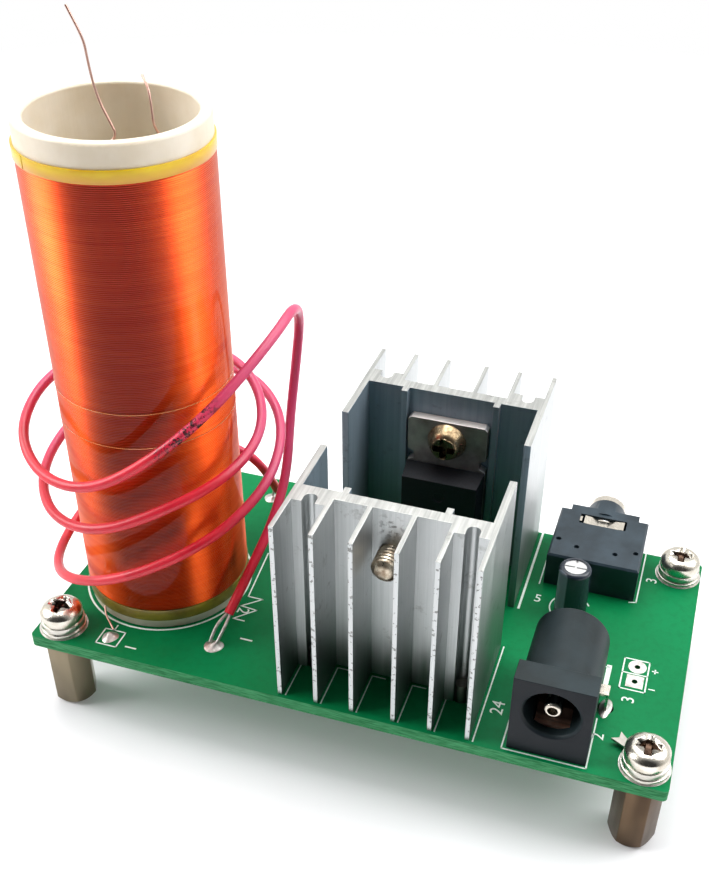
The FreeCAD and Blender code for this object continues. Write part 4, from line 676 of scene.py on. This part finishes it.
def ring_pad(bm, spot, hole, corners, reach, height):
    """A flat pad with a round hole: round with many corners, square with four."""
    inner = bmesh.ops.create_circle(bm, cap_ends=False, segments=32, radius=hole / 2 * MM)["verts"]
    outer = bmesh.ops.create_circle(bm, cap_ends=False, segments=corners, radius=reach * MM,
                                    matrix=Matrix.Rotation(math.pi / corners, 4, "Z"))["verts"]
    loops = set(inner + outer)
    rims = [edge for edge in bm.edges if edge.verts[0] in loops]
    flat = bmesh.ops.bridge_loops(bm, edges=rims)["faces"]
    raised = bmesh.ops.extrude_face_region(bm, geom=flat)["geom"]
    top = [item for item in raised if isinstance(item, bmesh.types.BMVert)]
    bmesh.ops.translate(bm, verts=top, vec=v(0, 0, height))
    every = inner + outer + top
    bmesh.ops.recalc_face_normals(bm, faces=faces_on(bm, every))
    bmesh.ops.translate(bm, verts=every, vec=v(*spot, DECK))


bm = bmesh.new()
for spot, corners, reach in HEADER_PADS:
    ring_pad(bm, spot, HEADER_HOLE, corners, reach, PAD_HEIGHT)
for spot in SCREW_PLACES:
    ring_pad(bm, spot, SCREW_HOLE, 48, SCREW_PAD_REACH, SCREW_PAD_HEIGHT)
pads = finish_piece("tinned_pads", bm)
print("pads faces:", len(pads.data.polygons))

# %% [markdown]
# ## Drops of solder
# Solder wets its pad and climbs the wire, so a drop has a hollow flank and a small round top.
# It is turned from that outline and then pushed a little out of round, because no two drops
# are alike.

# %% Solder drops
DROP = [(0.0, 0.7), (0.16, 0.68), (0.32, 0.58), (0.5, 0.4), (0.72, 0.22), (0.95, 0.1),
        (1.15, 0.03), (1.17, 0.0), (0.0, 0.0)]
DROP_WIDTH = 2.34
DROP_HEIGHT = 0.7
OVAL = 0.07
THREE_SIDED = 0.05
DROPS = [((-16.84, -16.9), 2.3, 0.62, (0.2, 0.25), 1.0),
         ((-21.28, 13.34), 2.3, 0.62, (0.15, -0.2), 1.0),
         ((-29.53, -19.41), 2.0, 0.6, (-0.1, 0.15), 1.0),
         ((30.5, -12.04), 1.5, 0.55, (0.0, 0.0), 2.1)]


def solder_drop(bm, spot, width, height, lean, stretch):
    """One drop of solder, width across and height tall, its top leaning, stretched along Y."""
    outline = [(r * width / DROP_WIDTH, z * height / DROP_HEIGHT) for r, z in DROP]
    centre = v(*spot, DECK)
    for vert in spun(bm, outline, (*spot, DECK), steps=40):
        out = vert.co - centre
        angle = math.atan2(out.y, out.x)
        swell = 1 + OVAL * math.sin(2 * angle + lean[0] * 5) + THREE_SIDED * math.sin(3 * angle)
        up = out.z / height
        vert.co.x = centre.x + out.x * swell + lean[0] * up
        vert.co.y = centre.y + out.y * swell * stretch + lean[1] * up


bm = bmesh.new()
for spot, width, height, lean, stretch in DROPS:
    solder_drop(bm, spot, width, height, lean, stretch)
drops = finish_piece("solder_drops", bm, angle=60)
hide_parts("top_solder")
print("drops faces:", len(drops.data.polygons))

# %% Material: bright solder
solder, tree, shader, place = new_material("bright_tin_solder", {"Metallic": 1.0, "Roughness": 0.22})
skin = patches(tree, place, 0.7)
feed(tree, shader, {"Base Color": two_tone(tree, skin, "#d2d0cb", "#a9a39e", 0.4, 0.7)})
gloss(tree, shader, skin, 0.4, 0.6, 0.35, 0.7)
relief(tree, shader, skin, 0.04)
drops.data.materials.append(solder)
pads.data.materials.append(solder)
dress(solder, "solder_joints", "primary_wire_ends", "capacitor_leads", "chip_end_caps",
      "clamp_diode_tabs")
print(solder.name)

# %% [markdown]
# ## Heat sinks
# Both are lengths of one extruded aluminium bar, sawn off. The CAD shape is right, so a copy of
# it only gets its tiny edge radii, which catch the light.

# %% Heat sinks
SINK_EDGE = 0.05
sinks = [softened_copy("extruded_" + name, name, SINK_EDGE, angle=30, flat=True)
         for name in ("front_heatsink", "rear_heatsink")]
print("heat sink faces:", [len(sink.data.polygons) for sink in sinks])

# %% [markdown]
# ## Extruded aluminium
# Extrusion leaves fine lines along the bar, which stands upright here, and the saw leaves a
# brighter end with marks across it. Near the board the sides of the fins carry a painted
# reflection of the board's green and a painted shade. The walls of the screw channel are
# duller and carry a cooler, darker painted shade: they are the faces near the middle that
# look back towards the screw's axis. Small dark ticks on the front ends of the fins and one
# patch of dirt are drawn where the photograph shows them.

# %% Material: extruded aluminium
SCREW_AXIS = (5.05, 30.5)
BETWEEN_SINKS = -2.1
CHANNEL_REACH = 11.7
FIN_FRONT = -21.6
NEAR_BOARD = (13 * MM, 26 * MM)
DIRT_CENTRE = (5.0, -13.7, 34.2)
DIRT_REACH = (1.0 * MM, 2.6 * MM)
aluminium, tree, shader, place = new_material("extruded_aluminium", {"Metallic": 1.0, "Roughness": 0.36})
on_end = add(tree, "MapRange", (facing(tree, "Z"), 0.6, 0.9))
where = add(tree, "SeparateXYZ", (place,)).outputs
low = add(tree, "MapRange", (where["Z"], *NEAR_BOARD, 0.85, 0.0))
sideways = add(tree, "Math", (facing(tree, "X"),), operation="ABSOLUTE")
board_reflection_shade = add(tree, "Math", (low, sideways), operation="MULTIPLY")
draw_lines = patches(tree, place, 0.55, detail=4.0, roughness=0.7, stretch=(1, 1, 0.015))
saw_marks = patches(tree, place, 0.35, stretch=(1, 0.04, 1))
tone = two_tone(tree, draw_lines, "#b6baba", "#d0d3d3", 0.3, 0.7)
# Painted reflection of the green board, with painted shade, on the fin sides near the board.
tone = add(tree, "Mix", (board_reflection_shade, tone, linear("#567468")), data_type="RGBA")
print("nodes so far:", len(tree.nodes))

# %% The walls of the screw channel
ahead = add(tree, "Math", (where["Y"], BETWEEN_SINKS * MM), operation="SUBTRACT")
aside = add(tree, "Math", (where["X"], SCREW_AXIS[0] * MM), operation="SUBTRACT")
along_y = add(tree, "Math", (facing(tree, "Y"), ahead), operation="MULTIPLY")
along_x = add(tree, "Math", (facing(tree, "X"), aside), operation="MULTIPLY")
least = add(tree, "Math", (along_y, along_x), operation="MINIMUM")
turned_in = add(tree, "Math", (least, -1 * MM), operation="LESS_THAN")
from_middle = add(tree, "Math", (ahead,), operation="ABSOLUTE")
within = add(tree, "Math", (from_middle, CHANNEL_REACH * MM), operation="LESS_THAN")
in_channel = add(tree, "Math", (turned_in, within), operation="MULTIPLY")
# Painted shade on the channel walls: cool grey higher up, and a darker green near the board, where its
# reflection is painted.
painted_wall_shade = two_tone(tree, low, "#98a8b4", "#74847f")
tone = add(tree, "Mix", (in_channel, tone, painted_wall_shade), data_type="RGBA")
print("nodes so far:", len(tree.nodes))

# %% Sawn ends, dirt and gloss
sawn = two_tone(tree, saw_marks, "#a6a7a4", "#c2c3bf", 0.35, 0.65)
bare = add(tree, "Mix", (on_end, tone, sawn), data_type="RGBA")
specks = add(tree, "MapRange", (patches(tree, place, 0.45, detail=2.0), 0.6, 0.64, 0.0, 0.7))
on_fin_fronts = add(tree, "Math", (where["Y"], FIN_FRONT * MM), operation="LESS_THAN")
ticks = add(tree, "Math", (specks, on_fin_fronts), operation="MULTIPLY")
from_dirt = add(tree, "VectorMath", (place, v(*DIRT_CENTRE)), operation="DISTANCE")
near_dirt = add(tree, "MapRange", (from_dirt, *DIRT_REACH, 1.0, 0.0))
crumbs = add(tree, "MapRange", (patches(tree, place, 0.6, detail=4.0), 0.52, 0.6))
dirt = add(tree, "Math", (near_dirt, crumbs), operation="MULTIPLY")
dark = add(tree, "Math", (ticks, dirt), operation="MAXIMUM")
bare = add(tree, "Mix", (dark, bare, linear("#4c4b47")), data_type="RGBA")
smudge = add(tree, "MapRange", (patches(tree, place, 3.2, detail=5.0, roughness=0.7), 0.6, 0.72, 0.0, 0.55))
bare = add(tree, "Mix", (smudge, bare, linear("#6c6b66")), data_type="RGBA")
even = add(tree, "MapRange", (draw_lines, 0.3, 0.7, 0.3, 0.5))
duller = add(tree, "Math", (in_channel, 0.25), operation="MULTIPLY")
feed(tree, shader, {"Base Color": bare,
                    "Roughness": add(tree, "Math", (even, duller), operation="ADD")})
relief(tree, shader, add(tree, "Mix", (on_end, draw_lines, saw_marks), data_type="RGBA"), 0.025)
for sink in sinks:
    sink.data.materials.append(aluminium)
print(aluminium.name)

# %% [markdown]
# ## Screws, washers and posts
# Small machine screws are nickel-plated steel: bright, slightly warm, with a soft edge. The
# posts are plated brass or steel rod with six flats. All have tiny bevels, so each is a
# softened copy of its CAD shape. The cross recess keeps its crisp edges, because a punch
# makes it.

# %% Hardware
HARDWARE = {"board_screws": ("screw_nickel", 0.07), "flat_washers": ("washer_zinc", 0.06),
            "spring_washers": ("washer_zinc", 0.06), "standoffs": ("post_metal", 0.09)}
RECESS_REACH = 1.75
RECESS_FLOOR = 13.2


def in_recess(edge):
    """Whether an edge belongs to the cross recess of a board screw."""
    middle = (edge.verts[0].co + edge.verts[1].co) / 2
    near = min((middle.xy - v(*spot, 0).xy).length for spot in SCREW_PLACES)
    return middle.z > RECESS_FLOOR * MM and near < RECESS_REACH * MM


hardware = {name: softened_copy("softened_" + name, name, width, keep=in_recess, angle=32)
            for name, (slot, width) in HARDWARE.items()}
print({name: len(piece.data.polygons) for name, piece in hardware.items()})

# %% [markdown]
# ## Nickel and zinc plate
# Plate is a bright metal whose haze changes its colour and its gloss together. The board screws
# carry a painted shade in their recesses, so one function marks a recess: near the screw's axis,
# on a wall or below the floor line. The four screws share one material, and folding the board's
# plane about its middle puts all four axes in one place.

# %% Materials: nickel and zinc plate
SHADE_REACH = 1.6
SHADE_BELOW = 14.3
STEEP = 0.7


def recess_shade_mask(tree, across, up, facing_up, reach, floor):
    """One inside a cross recess, where the shade is painted; across holds the two distances from the
    screw's axis.
    """
    squares = [add(tree, "Math", (part, part), operation="MULTIPLY") for part in across]
    total = add(tree, "Math", squares, operation="ADD")
    distance = add(tree, "Math", (total, 0.5), operation="POWER")
    near = add(tree, "Math", (distance, reach * MM), operation="LESS_THAN")
    slope = add(tree, "Math", (facing_up,), operation="ABSOLUTE")
    on_wall = add(tree, "Math", (slope, STEEP), operation="LESS_THAN")
    on_floor = add(tree, "Math", (up, floor * MM), operation="LESS_THAN")
    either = add(tree, "Math", (on_wall, on_floor), operation="MAXIMUM")
    return add(tree, "Math", (near, either), operation="MULTIPLY")


nickel, tree, shader, place = new_material("nickel_plated_steel", {"Metallic": 1.0, "Roughness": 0.2})
where = add(tree, "SeparateXYZ", (place,)).outputs
centred = add(tree, "Math", (where["Y"], -SCREW_MIDDLE_Y * MM), operation="ADD")
folded = []
for part, half_span in zip((where["X"], centred), SCREW_HALF_SPAN):
    positive = add(tree, "Math", (part,), operation="ABSOLUTE")
    folded.append(add(tree, "Math", (positive, half_span * MM), operation="SUBTRACT"))
recess_shade = recess_shade_mask(tree, folded, where["Z"], facing(tree, "Z"), SHADE_REACH, SHADE_BELOW)
haze = patches(tree, place, 1.6, detail=4.0)
plate = two_tone(tree, haze, "#e0dcd2", "#c2b9a8", 0.35, 0.7)
# Painted shade inside the cross recesses.
plate = add(tree, "Mix", (recess_shade, plate, linear("#4a3a30")), data_type="RGBA")
feed(tree, shader, {"Base Color": plate})
gloss(tree, shader, haze, 0.14, 0.34)
relief(tree, shader, patches(tree, place, 0.4), 0.012)
hardware["board_screws"].data.materials.append(nickel)
zinc, tree, shader, place = new_material("zinc_plated_washer", {"Metallic": 1.0, "Roughness": 0.3})
haze = patches(tree, place, 1.0, detail=4.0)
feed(tree, shader, {"Base Color": two_tone(tree, haze, "#dcdad4", "#b4aea2")})
gloss(tree, shader, haze, 0.2, 0.45)
relief(tree, shader, patches(tree, place, 0.35), 0.015)
for name in ("flat_washers", "spring_washers"):
    hardware[name].data.materials.append(zinc)
print(nickel.name, zinc.name)

# %% [markdown]
# ## Plated posts
# The posts' thin plating has turned brown and uneven, more on the right than on the left. The
# lathe has left fine lines round each post, which the relief follows.

# %% Material: plated brass posts
LEFT_TO_RIGHT = (-10 * MM, 10 * MM)
post, tree, shader, place = new_material("plated_brass_post", {"Metallic": 1.0, "Roughness": 0.34})
haze = patches(tree, place, 3.5, detail=2.0, stretch=(1, 1, 0.4))
left_to_right = add(tree, "SeparateXYZ", (place,)).outputs["X"]
to_right = add(tree, "MapRange", (left_to_right, *LEFT_TO_RIGHT))
greyer = two_tone(tree, haze, "#948a72", "#6e6454")
browner = two_tone(tree, haze, "#6a5744", "#4c3d30", 0.3, 0.7)
plating = add(tree, "Mix", (to_right, greyer, browner), data_type="RGBA")
feed(tree, shader, {"Base Color": plating})
gloss(tree, shader, haze, 0.26, 0.46)
relief(tree, shader, patches(tree, place, 0.5, stretch=(0.04, 0.04, 1)), 0.012)
hardware["standoffs"].data.materials.append(post)
print(post.name)

# %% [markdown]
# ## Transistors
# Each is a black moulded epoxy block on a tinned copper tab, screwed flat to its heat sink. The
# epoxy is matt with a fine grain from its filler, and the tab is dull and darker where flux and
# oxide have stained it, with a painted highlight on its upper edge.

# %% Transistors
CASE_EDGE = 0.12
TAB_EDGE = 0.08
cases, tabs = [], []
for side in ("front", "rear"):
    case, tab = side + "_transistor_case", side + "_transistor_tab"
    cases.append(softened_copy("moulded_" + case, case, CASE_EDGE, flat=True))
    tabs.append(softened_copy("stamped_" + tab, tab, TAB_EDGE, flat=True))
print("case and tab faces:", [len(piece.data.polygons) for piece in cases + tabs])

# %% Materials: moulding epoxy and tinned copper
epoxy, tree, shader, place = new_material("black_moulding_epoxy", {
    "Roughness": 0.6, "IOR": 1.55, "Specular IOR Level": 0.25})
filler = patches(tree, place, 0.25, detail=4.0, roughness=0.7)
feed(tree, shader, {"Base Color": two_tone(tree, filler, "#13151a", "#22252b", 0.4, 0.7)})
gloss(tree, shader, filler, 0.45, 0.68)
relief(tree, shader, filler, 0.02)
for case in cases:
    case.data.materials.append(epoxy)
tinned, tree, shader, place = new_material("stained_tinned_copper", {"Metallic": 1.0, "Roughness": 0.55})
stain = patches(tree, place, 2.6, detail=5.0)
dull = two_tone(tree, stain, "#b4b0aa", "#8c8882", 0.35, 0.65)
# A painted highlight on the faces that look up.
upper_highlight = add(tree, "MapRange", (facing(tree, "Z"), 0.3, 0.8))
tin = add(tree, "Mix", (upper_highlight, dull, linear("#f0ebe6")), data_type="RGBA")
feed(tree, shader, {"Base Color": tin})
gloss(tree, shader, stain, 0.5, 0.66)
relief(tree, shader, patches(tree, place, 0.4), 0.015)
for tab in tabs:
    tab.data.materials.append(tinned)
leads, tree, shader, place = new_material("tinned_leads", {"Metallic": 1.0, "Roughness": 0.42})
wipe = patches(tree, place, 0.6, stretch=(1, 1, 0.1))
feed(tree, shader, {"Base Color": two_tone(tree, wipe, "#b4b1aa", "#85817a")})
relief(tree, shader, wipe, 0.01)
dress(leads, "front_transistor_leads", "rear_transistor_leads", "heatsink_pins", "solder_tag")
print(epoxy.name, tinned.name, leads.name)

# %% [markdown]
# ## The transistor screws
# The rear screw shows its cross-recessed head and the front one its threaded end, among the
# fins. The heads are drawn a little smaller than in the CAD, as the photograph shows them.

# %% Transistor screws
HEAD_SHRINK = 0.84
SHANK_REACH = 1.55
HEAD_SPANS = ((-12.36, -10.2), (5.9, 8.12))
CORE_REACH = 1.7
SCREW_EDGE = 0.05


def off_axis(vert):
    """A point's two distances from the screws' axis."""
    return Vector((vert.co.x - SCREW_AXIS[0] * MM, vert.co.z - SCREW_AXIS[1] * MM))


def in_head(vert):
    """Whether a point belongs to a screw's head, outside its shank."""
    beside = any(low * MM < vert.co.y < high * MM for low, high in HEAD_SPANS)
    return beside and off_axis(vert).length > SHANK_REACH * MM


def near_axis(edge):
    """Whether an edge belongs to a recess or a shank."""
    return all(off_axis(vert).length < CORE_REACH * MM for vert in edge.verts)


bm = copy_of("transistor_screws")
heads = [vert for vert in bm.verts if in_head(vert)]
for vert in heads:
    vert.co.x -= off_axis(vert).x * (1 - HEAD_SHRINK)
    vert.co.z -= off_axis(vert).y * (1 - HEAD_SHRINK)
screws = finish_piece("softened_transistor_screws", soften(bm, SCREW_EDGE, near_axis),
                      angle=32)
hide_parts("transistor_screws")
print("screw faces:", len(screws.data.polygons))

# %% [markdown]
# ## A screw thread
# The thread is a wedge outline turned round the screw while it climbs, which is what Spin does
# when it is also given a step along its axis.

# %% The thread on the front screw
THREAD_PITCH = 0.5
THREAD_START = -18.1
THREAD_TURNS = 5.0
THREAD_CORE = 1.36
THREAD_CREST = 1.56
THREAD_WEDGE = [(THREAD_CORE, 0), (THREAD_CREST, 0.16), (THREAD_CORE, 0.34)]
STEPS_PER_TURN = 24
bm = bmesh.new()
wedge = [bm.verts.new(v(reach, along, 0)) for reach, along in THREAD_WEDGE]
rim = [bm.edges.new((wedge[k], wedge[(k + 1) % len(wedge)])) for k in range(len(wedge))]
bmesh.ops.spin(bm, geom=wedge + rim, cent=(0, 0, 0), axis=(0, 1, 0), angle=math.tau * THREAD_TURNS,
               steps=int(STEPS_PER_TURN * THREAD_TURNS), dvec=v(0, THREAD_PITCH / STEPS_PER_TURN, 0))
bmesh.ops.holes_fill(bm, edges=[edge for edge in bm.edges if edge.is_boundary], sides=0)
bmesh.ops.recalc_face_normals(bm, faces=bm.faces)
bmesh.ops.translate(bm, verts=bm.verts, vec=v(SCREW_AXIS[0], THREAD_START, SCREW_AXIS[1]))
spiral = finish_piece("screw_thread", bm, angle=50)
print("thread faces:", len(spiral.data.polygons))

# %% [markdown]
# ## Brown-stained nickel
# These two screws are brown, the rear head darker than the front point. The recess carries a
# painted shade, found as on the board screws, but these screws lie along Y.

# %% Material: brown-stained nickel
REAR_SHADE_REACH = 1.4
NO_FLOOR = -99.0
browned, tree, shader, place = new_material("brown_stained_nickel", {"Metallic": 1.0, "Roughness": 0.3})
where = add(tree, "SeparateXYZ", (place,)).outputs
from_axis = [add(tree, "Math", (where["X"], SCREW_AXIS[0] * MM), operation="SUBTRACT"),
             add(tree, "Math", (where["Z"], SCREW_AXIS[1] * MM), operation="SUBTRACT")]
recess_shade = recess_shade_mask(tree, from_axis, where["Y"], facing(tree, "Y"), REAR_SHADE_REACH, NO_FLOOR)
at_rear = add(tree, "Math", (where["Y"], 0.0), operation="GREATER_THAN")
rear_recess_shade = add(tree, "Math", (recess_shade, at_rear), operation="MULTIPLY")
stain = patches(tree, place, 0.7, detail=4.0)
head = two_tone(tree, stain, "#ab9676", "#6c5a44", 0.35, 0.7)
point = two_tone(tree, stain, "#d6cab6", "#8d7a66", 0.35, 0.7)
plate = add(tree, "Mix", (at_rear, point, head), data_type="RGBA")
# Painted shade in the rear screw's recess.
plate = add(tree, "Mix", (rear_recess_shade, plate, linear("#3c3026")), data_type="RGBA")
feed(tree, shader, {"Base Color": plate})
gloss(tree, shader, stain, 0.2, 0.45)
screws.data.materials.append(browned)
spiral.data.materials.append(browned)
print(browned.name)

# %% [markdown]
# ## The two sockets
# Both housings are moulded in black thermoplastic, which has a fine spark-eroded texture and a
# half gloss, so it reads blue-grey under soft light. The texture is drawn as coarse as it needs
# to show. The faces of the power socket that look forward, round its plug's hole, carry a darker
# painted shade.

# %% Socket housings
POWER_EDGE = 0.1
AUDIO_EDGE = 0.06
power = softened_copy("moulded_power_socket", "power_socket_housing", POWER_EDGE,
                      flat=True)
audio = softened_copy("moulded_audio_socket", "audio_socket_housing", AUDIO_EDGE,
                      flat=True)
print("housing faces:", len(power.data.polygons), len(audio.data.polygons))

# %% Materials: moulded thermoplastic and nylon
plastic, tree, shader, place = new_material("black_moulded_thermoplastic", {
    "Roughness": 0.5, "IOR": 1.5, "Specular IOR Level": 0.22})
rub = patches(tree, place, 4.0, detail=4.0)
# Painted shade on the faces that look forward.
front_face_shade = add(tree, "MapRange", (facing(tree, "Y"), -0.9, -0.6, 1.0, 0.0))
body_tone = two_tone(tree, rub, "#182224", "#263236", 0.35, 0.7)
moulded = add(tree, "Mix", (front_face_shade, body_tone, linear("#09121a")), data_type="RGBA")
feed(tree, shader, {"Base Color": moulded})
gloss(tree, shader, rub, 0.36, 0.52)
relief(tree, shader, patches(tree, place, 0.18, roughness=0.7), 0.012)
power.data.materials.append(plastic)
navy, tree, shader, place = new_material("navy_black_nylon", {
    "Roughness": 0.45, "IOR": 1.53, "Specular IOR Level": 0.35})
rub = patches(tree, place, 3.0, detail=4.0)
feed(tree, shader, {"Base Color": two_tone(tree, rub, "#1e2b33", "#2d3d47", 0.35, 0.7)})
gloss(tree, shader, rub, 0.3, 0.45)
relief(tree, shader, patches(tree, place, 0.2, roughness=0.7), 0.01)
audio.data.materials.append(navy)
print(plastic.name, navy.name)

# %% [markdown]
# ## Contacts
# The contacts are stamped from phosphor bronze and plated with nickel. The power socket's leaf
# is bare and pink at its tip, and behind the tip, deeper in the bore, it carries a brown painted shade.

# %% Materials: bronze leaf and plated contacts
BORE_SHADE_SPAN = (-18.9 * MM, -18.2 * MM)
bronze, tree, shader, place = new_material("phosphor_bronze_leaf", {"Metallic": 0.45, "Roughness": 0.5})
tarnish = patches(tree, place, 1.6, detail=4.0)
leaf_tone = two_tone(tree, tarnish, "#f4cbb8", "#dca890", 0.35, 0.65)
front_to_back = add(tree, "SeparateXYZ", (place,)).outputs["Y"]
# Painted shade on the leaf behind its tip, inside the bore.
bore_shade = add(tree, "MapRange", (front_to_back, *BORE_SHADE_SPAN))
leaf_tone = add(tree, "Mix", (bore_shade, leaf_tone, linear("#5a4238")), data_type="RGBA")
feed(tree, shader, {"Base Color": leaf_tone})
gloss(tree, shader, tarnish, 0.45, 0.6)
dress(bronze, "power_socket_leaf")
bright, tree, shader, place = new_material("nickel_plated_contact", {"Metallic": 1.0, "Roughness": 0.2})
haze = patches(tree, place, 0.8)
feed(tree, shader, {"Base Color": two_tone(tree, haze, "#e6e0d4", "#c4bcae")})
gloss(tree, shader, haze, 0.14, 0.34)
dress(bright, "power_socket_pin", "power_socket_terminal", "power_socket_side_terminal",
      "audio_socket_bush", "audio_socket_ground_spring", "audio_socket_tip_spring",
      "audio_socket_ring_spring", "audio_socket_terminals")
print(bronze.name, bright.name)

# %% [markdown]
# ## The capacitor
# An aluminium can in a shrunk vinyl sleeve. The sleeve is blue-black with a pale stripe down
# the negative side, and it is drawn over the can's edge, so only a disc of bare metal shows on
# top. The stripe is where the surface lies far enough out in one direction from the axis.

# %% Materials of the capacitor
STRIPE_AT = math.radians(226.0)
STRIPE_HALF = math.radians(26.0)
SLEEVE_RADIUS = 2.0
STRIPE_FULL = 1.88
vinyl, tree, shader, place = new_material("shrunk_vinyl_sleeve", {"Roughness": 0.26, "IOR": 1.54})
centred = add(tree, "Mapping", {"Vector": place, "Location": v(-CAN_AXIS[0], -CAN_AXIS[1], 0)})
parts = add(tree, "SeparateXYZ", (centred,)).outputs
along_x = add(tree, "Math", (parts["X"], math.cos(STRIPE_AT)), operation="MULTIPLY")
along_y = add(tree, "Math", (parts["Y"], math.sin(STRIPE_AT)), operation="MULTIPLY")
towards_stripe = add(tree, "Math", (along_x, along_y), operation="ADD")
stripe = add(tree, "MapRange", (towards_stripe, SLEEVE_RADIUS * math.cos(STRIPE_HALF) * MM,
                                STRIPE_FULL * MM))
sleeve_tone = two_tone(tree, patches(tree, place, 1.5), "#1a222e", "#242d3a")
sleeve_tone = add(tree, "Mix", (stripe, sleeve_tone, linear("#66727e")), data_type="RGBA")
feed(tree, shader, {"Base Color": sleeve_tone})
relief(tree, shader, patches(tree, place, 1.2), 0.02)
dress(vinyl, "capacitor_sleeve")
can, tree, shader, place = new_material("drawn_aluminium_can", {"Metallic": 1.0, "Roughness": 0.3})
spin_marks = patches(tree, place, 0.5)
feed(tree, shader, {"Base Color": two_tone(tree, spin_marks, "#f0f0ee", "#cfd0d0")})
relief(tree, shader, spin_marks, 0.02)
dress(can, "capacitor_can")
rubber, tree, shader, place = new_material("black_rubber_bung", {"Roughness": 0.7})
feed(tree, shader, {"Base Color": two_tone(tree, patches(tree, place, 0.5), "#161616", "#262626")})
dress(rubber, "capacitor_bung")
print(vinyl.name, can.name, rubber.name)

# %% Material: glazed chips under the board
ceramic, tree, shader, place = new_material("chip_body_glaze", {"Roughness": 0.45})
feed(tree, shader, {"Base Color": two_tone(tree, patches(tree, place, 0.6), "#1a1a1c", "#2c2c2e")})
dress(ceramic, "chip_resistors", "clamp_diode")
print(ceramic.name)

# %% [markdown]
# ## The floor
# The photograph was taken on white paper. The paper is a plain matt disc that keeps the
# object's soft shadow. To the camera, to gloss and to glass it also glows, more with distance
# from the object, so that it fades into the white backdrop without more light on the object.
# The floor and the lamps are large, so their sizes and places are written in metres.

# %% Floor
FLOOR_RADIUS = 1.6
FLOOR_DROP = 0.00005
FADE_OUT = (0.05, 0.3)
bm = bmesh.new()
bmesh.ops.create_circle(bm, cap_ends=True, segments=96, radius=FLOOR_RADIUS)
floor_mesh = bpy.data.meshes.new("floor")
bm.to_mesh(floor_mesh)
bm.free()
floor = bpy.data.objects.new("floor", floor_mesh)
bpy.context.scene.collection.objects.link(floor)
floor.location.z = -FLOOR_DROP
paper = bpy.data.materials.new("white_paper_floor")
paper.use_nodes = True
tree = paper.node_tree
tree.nodes.clear()
path = add(tree, "LightPath").outputs
seen = add(tree, "Math", (path["Is Camera Ray"], path["Is Glossy Ray"]), operation="MAXIMUM")
seen = add(tree, "Math", (seen, path["Is Transmission Ray"]), operation="MAXIMUM")
reach = add(tree, "VectorMath", (add(tree, "TexCoord").outputs["Object"],), operation="LENGTH")
far = add(tree, "MapRange", (reach, *FADE_OUT, 0.12, 1.0))
share = add(tree, "Math", (seen, far), operation="MULTIPLY")
matt = add(tree, "BsdfDiffuse", {"Color": linear("#f6f6f8")})
glow = add(tree, "Emission", {"Color": linear("#ffffff"), "Strength": 1.0})
add(tree, "OutputMaterial", {"Surface": add(tree, "MixShader", (share, matt, glow))})
floor_mesh.materials.append(paper)
print(floor.name)

# %% [markdown]
# ## The room
# The room is bright at the left, the right and above, and darker behind the camera. Gloss and
# metal mirror it, and the darker side is what gives the coil its deep red middle between two
# bright edges. The camera itself sees plain white, and the light that falls on matt surfaces
# is held a little lower.

# %% World
DARK_SIDE = Vector((0.17, -0.985, 0.45)).normalized()
DARK_EDGES = (0.28, 0.8)
DARKEST = 0.04
LIT_LEVEL = 0.75
world = bpy.data.worlds.new("studio")
bpy.context.scene.world = world
world.use_nodes = True
tree = world.node_tree
tree.nodes.clear()
path = add(tree, "LightPath").outputs
way = add(tree, "TexCoord").outputs["Generated"]
towards_dark = add(tree, "VectorMath", (way, DARK_SIDE), operation="DOT_PRODUCT")
level = add(tree, "MapRange", (towards_dark, *DARK_EDGES, 1.0, DARKEST))
grey = add(tree, "CombineColor", (level, level, level))
lit = add(tree, "Background", {"Color": grey, "Strength": LIT_LEVEL})
mirrored = add(tree, "Background", {"Color": grey, "Strength": 1.0})
plain = add(tree, "Background", {"Color": linear("#ffffff"), "Strength": 1.0})
in_metal = add(tree, "Math", (path["Is Glossy Ray"], path["Is Transmission Ray"]), operation="MAXIMUM")
room = add(tree, "MixShader", (in_metal, lit, mirrored))
room = add(tree, "MixShader", (path["Is Camera Ray"], room, plain))
add(tree, "OutputWorld", {"Surface": room})
print(world.name)

# %% [markdown]
# ## The lamps
# Three soft boxes stand at the left, the right and above, as in a small photo tent. Each is a
# square area lamp turned to face the object. They are weak, because the room already lights
# the object, and give its metal edges their bright lines.

# %% Lamps
MIDDLE = Vector((0.0, 0.0, 0.03))
SOFT_BOXES = [("soft_box_left", (-0.42, -0.1, 0.32), 0.3, 2.2),
              ("soft_box_right", (0.38, 0.17, 0.44), 0.36, 2.3),
              ("soft_box_top", (-0.05, 0.15, 0.55), 0.4, 2.6)]


def lamp(name, spot, size, power):
    """A square soft box that faces the object."""
    data = bpy.data.lights.new(name, "AREA")
    data.shape = "SQUARE"
    data.size = size
    data.energy = power
    holder = bpy.data.objects.new(name, data)
    bpy.context.scene.collection.objects.link(holder)
    holder.location = spot
    holder.rotation_euler = (MIDDLE - Vector(spot)).to_track_quat("-Z", "Y").to_euler()


for name, spot, size, power in SOFT_BOXES:
    lamp(name, spot, size, power)
bpy.context.scene.view_settings.view_transform = "Standard"
print("lamps:", len(bpy.data.lights))

# %% [markdown]
# ## Finish
# The view layer is brought up to date once more.

# %% Finish
bpy.context.view_layer.update()
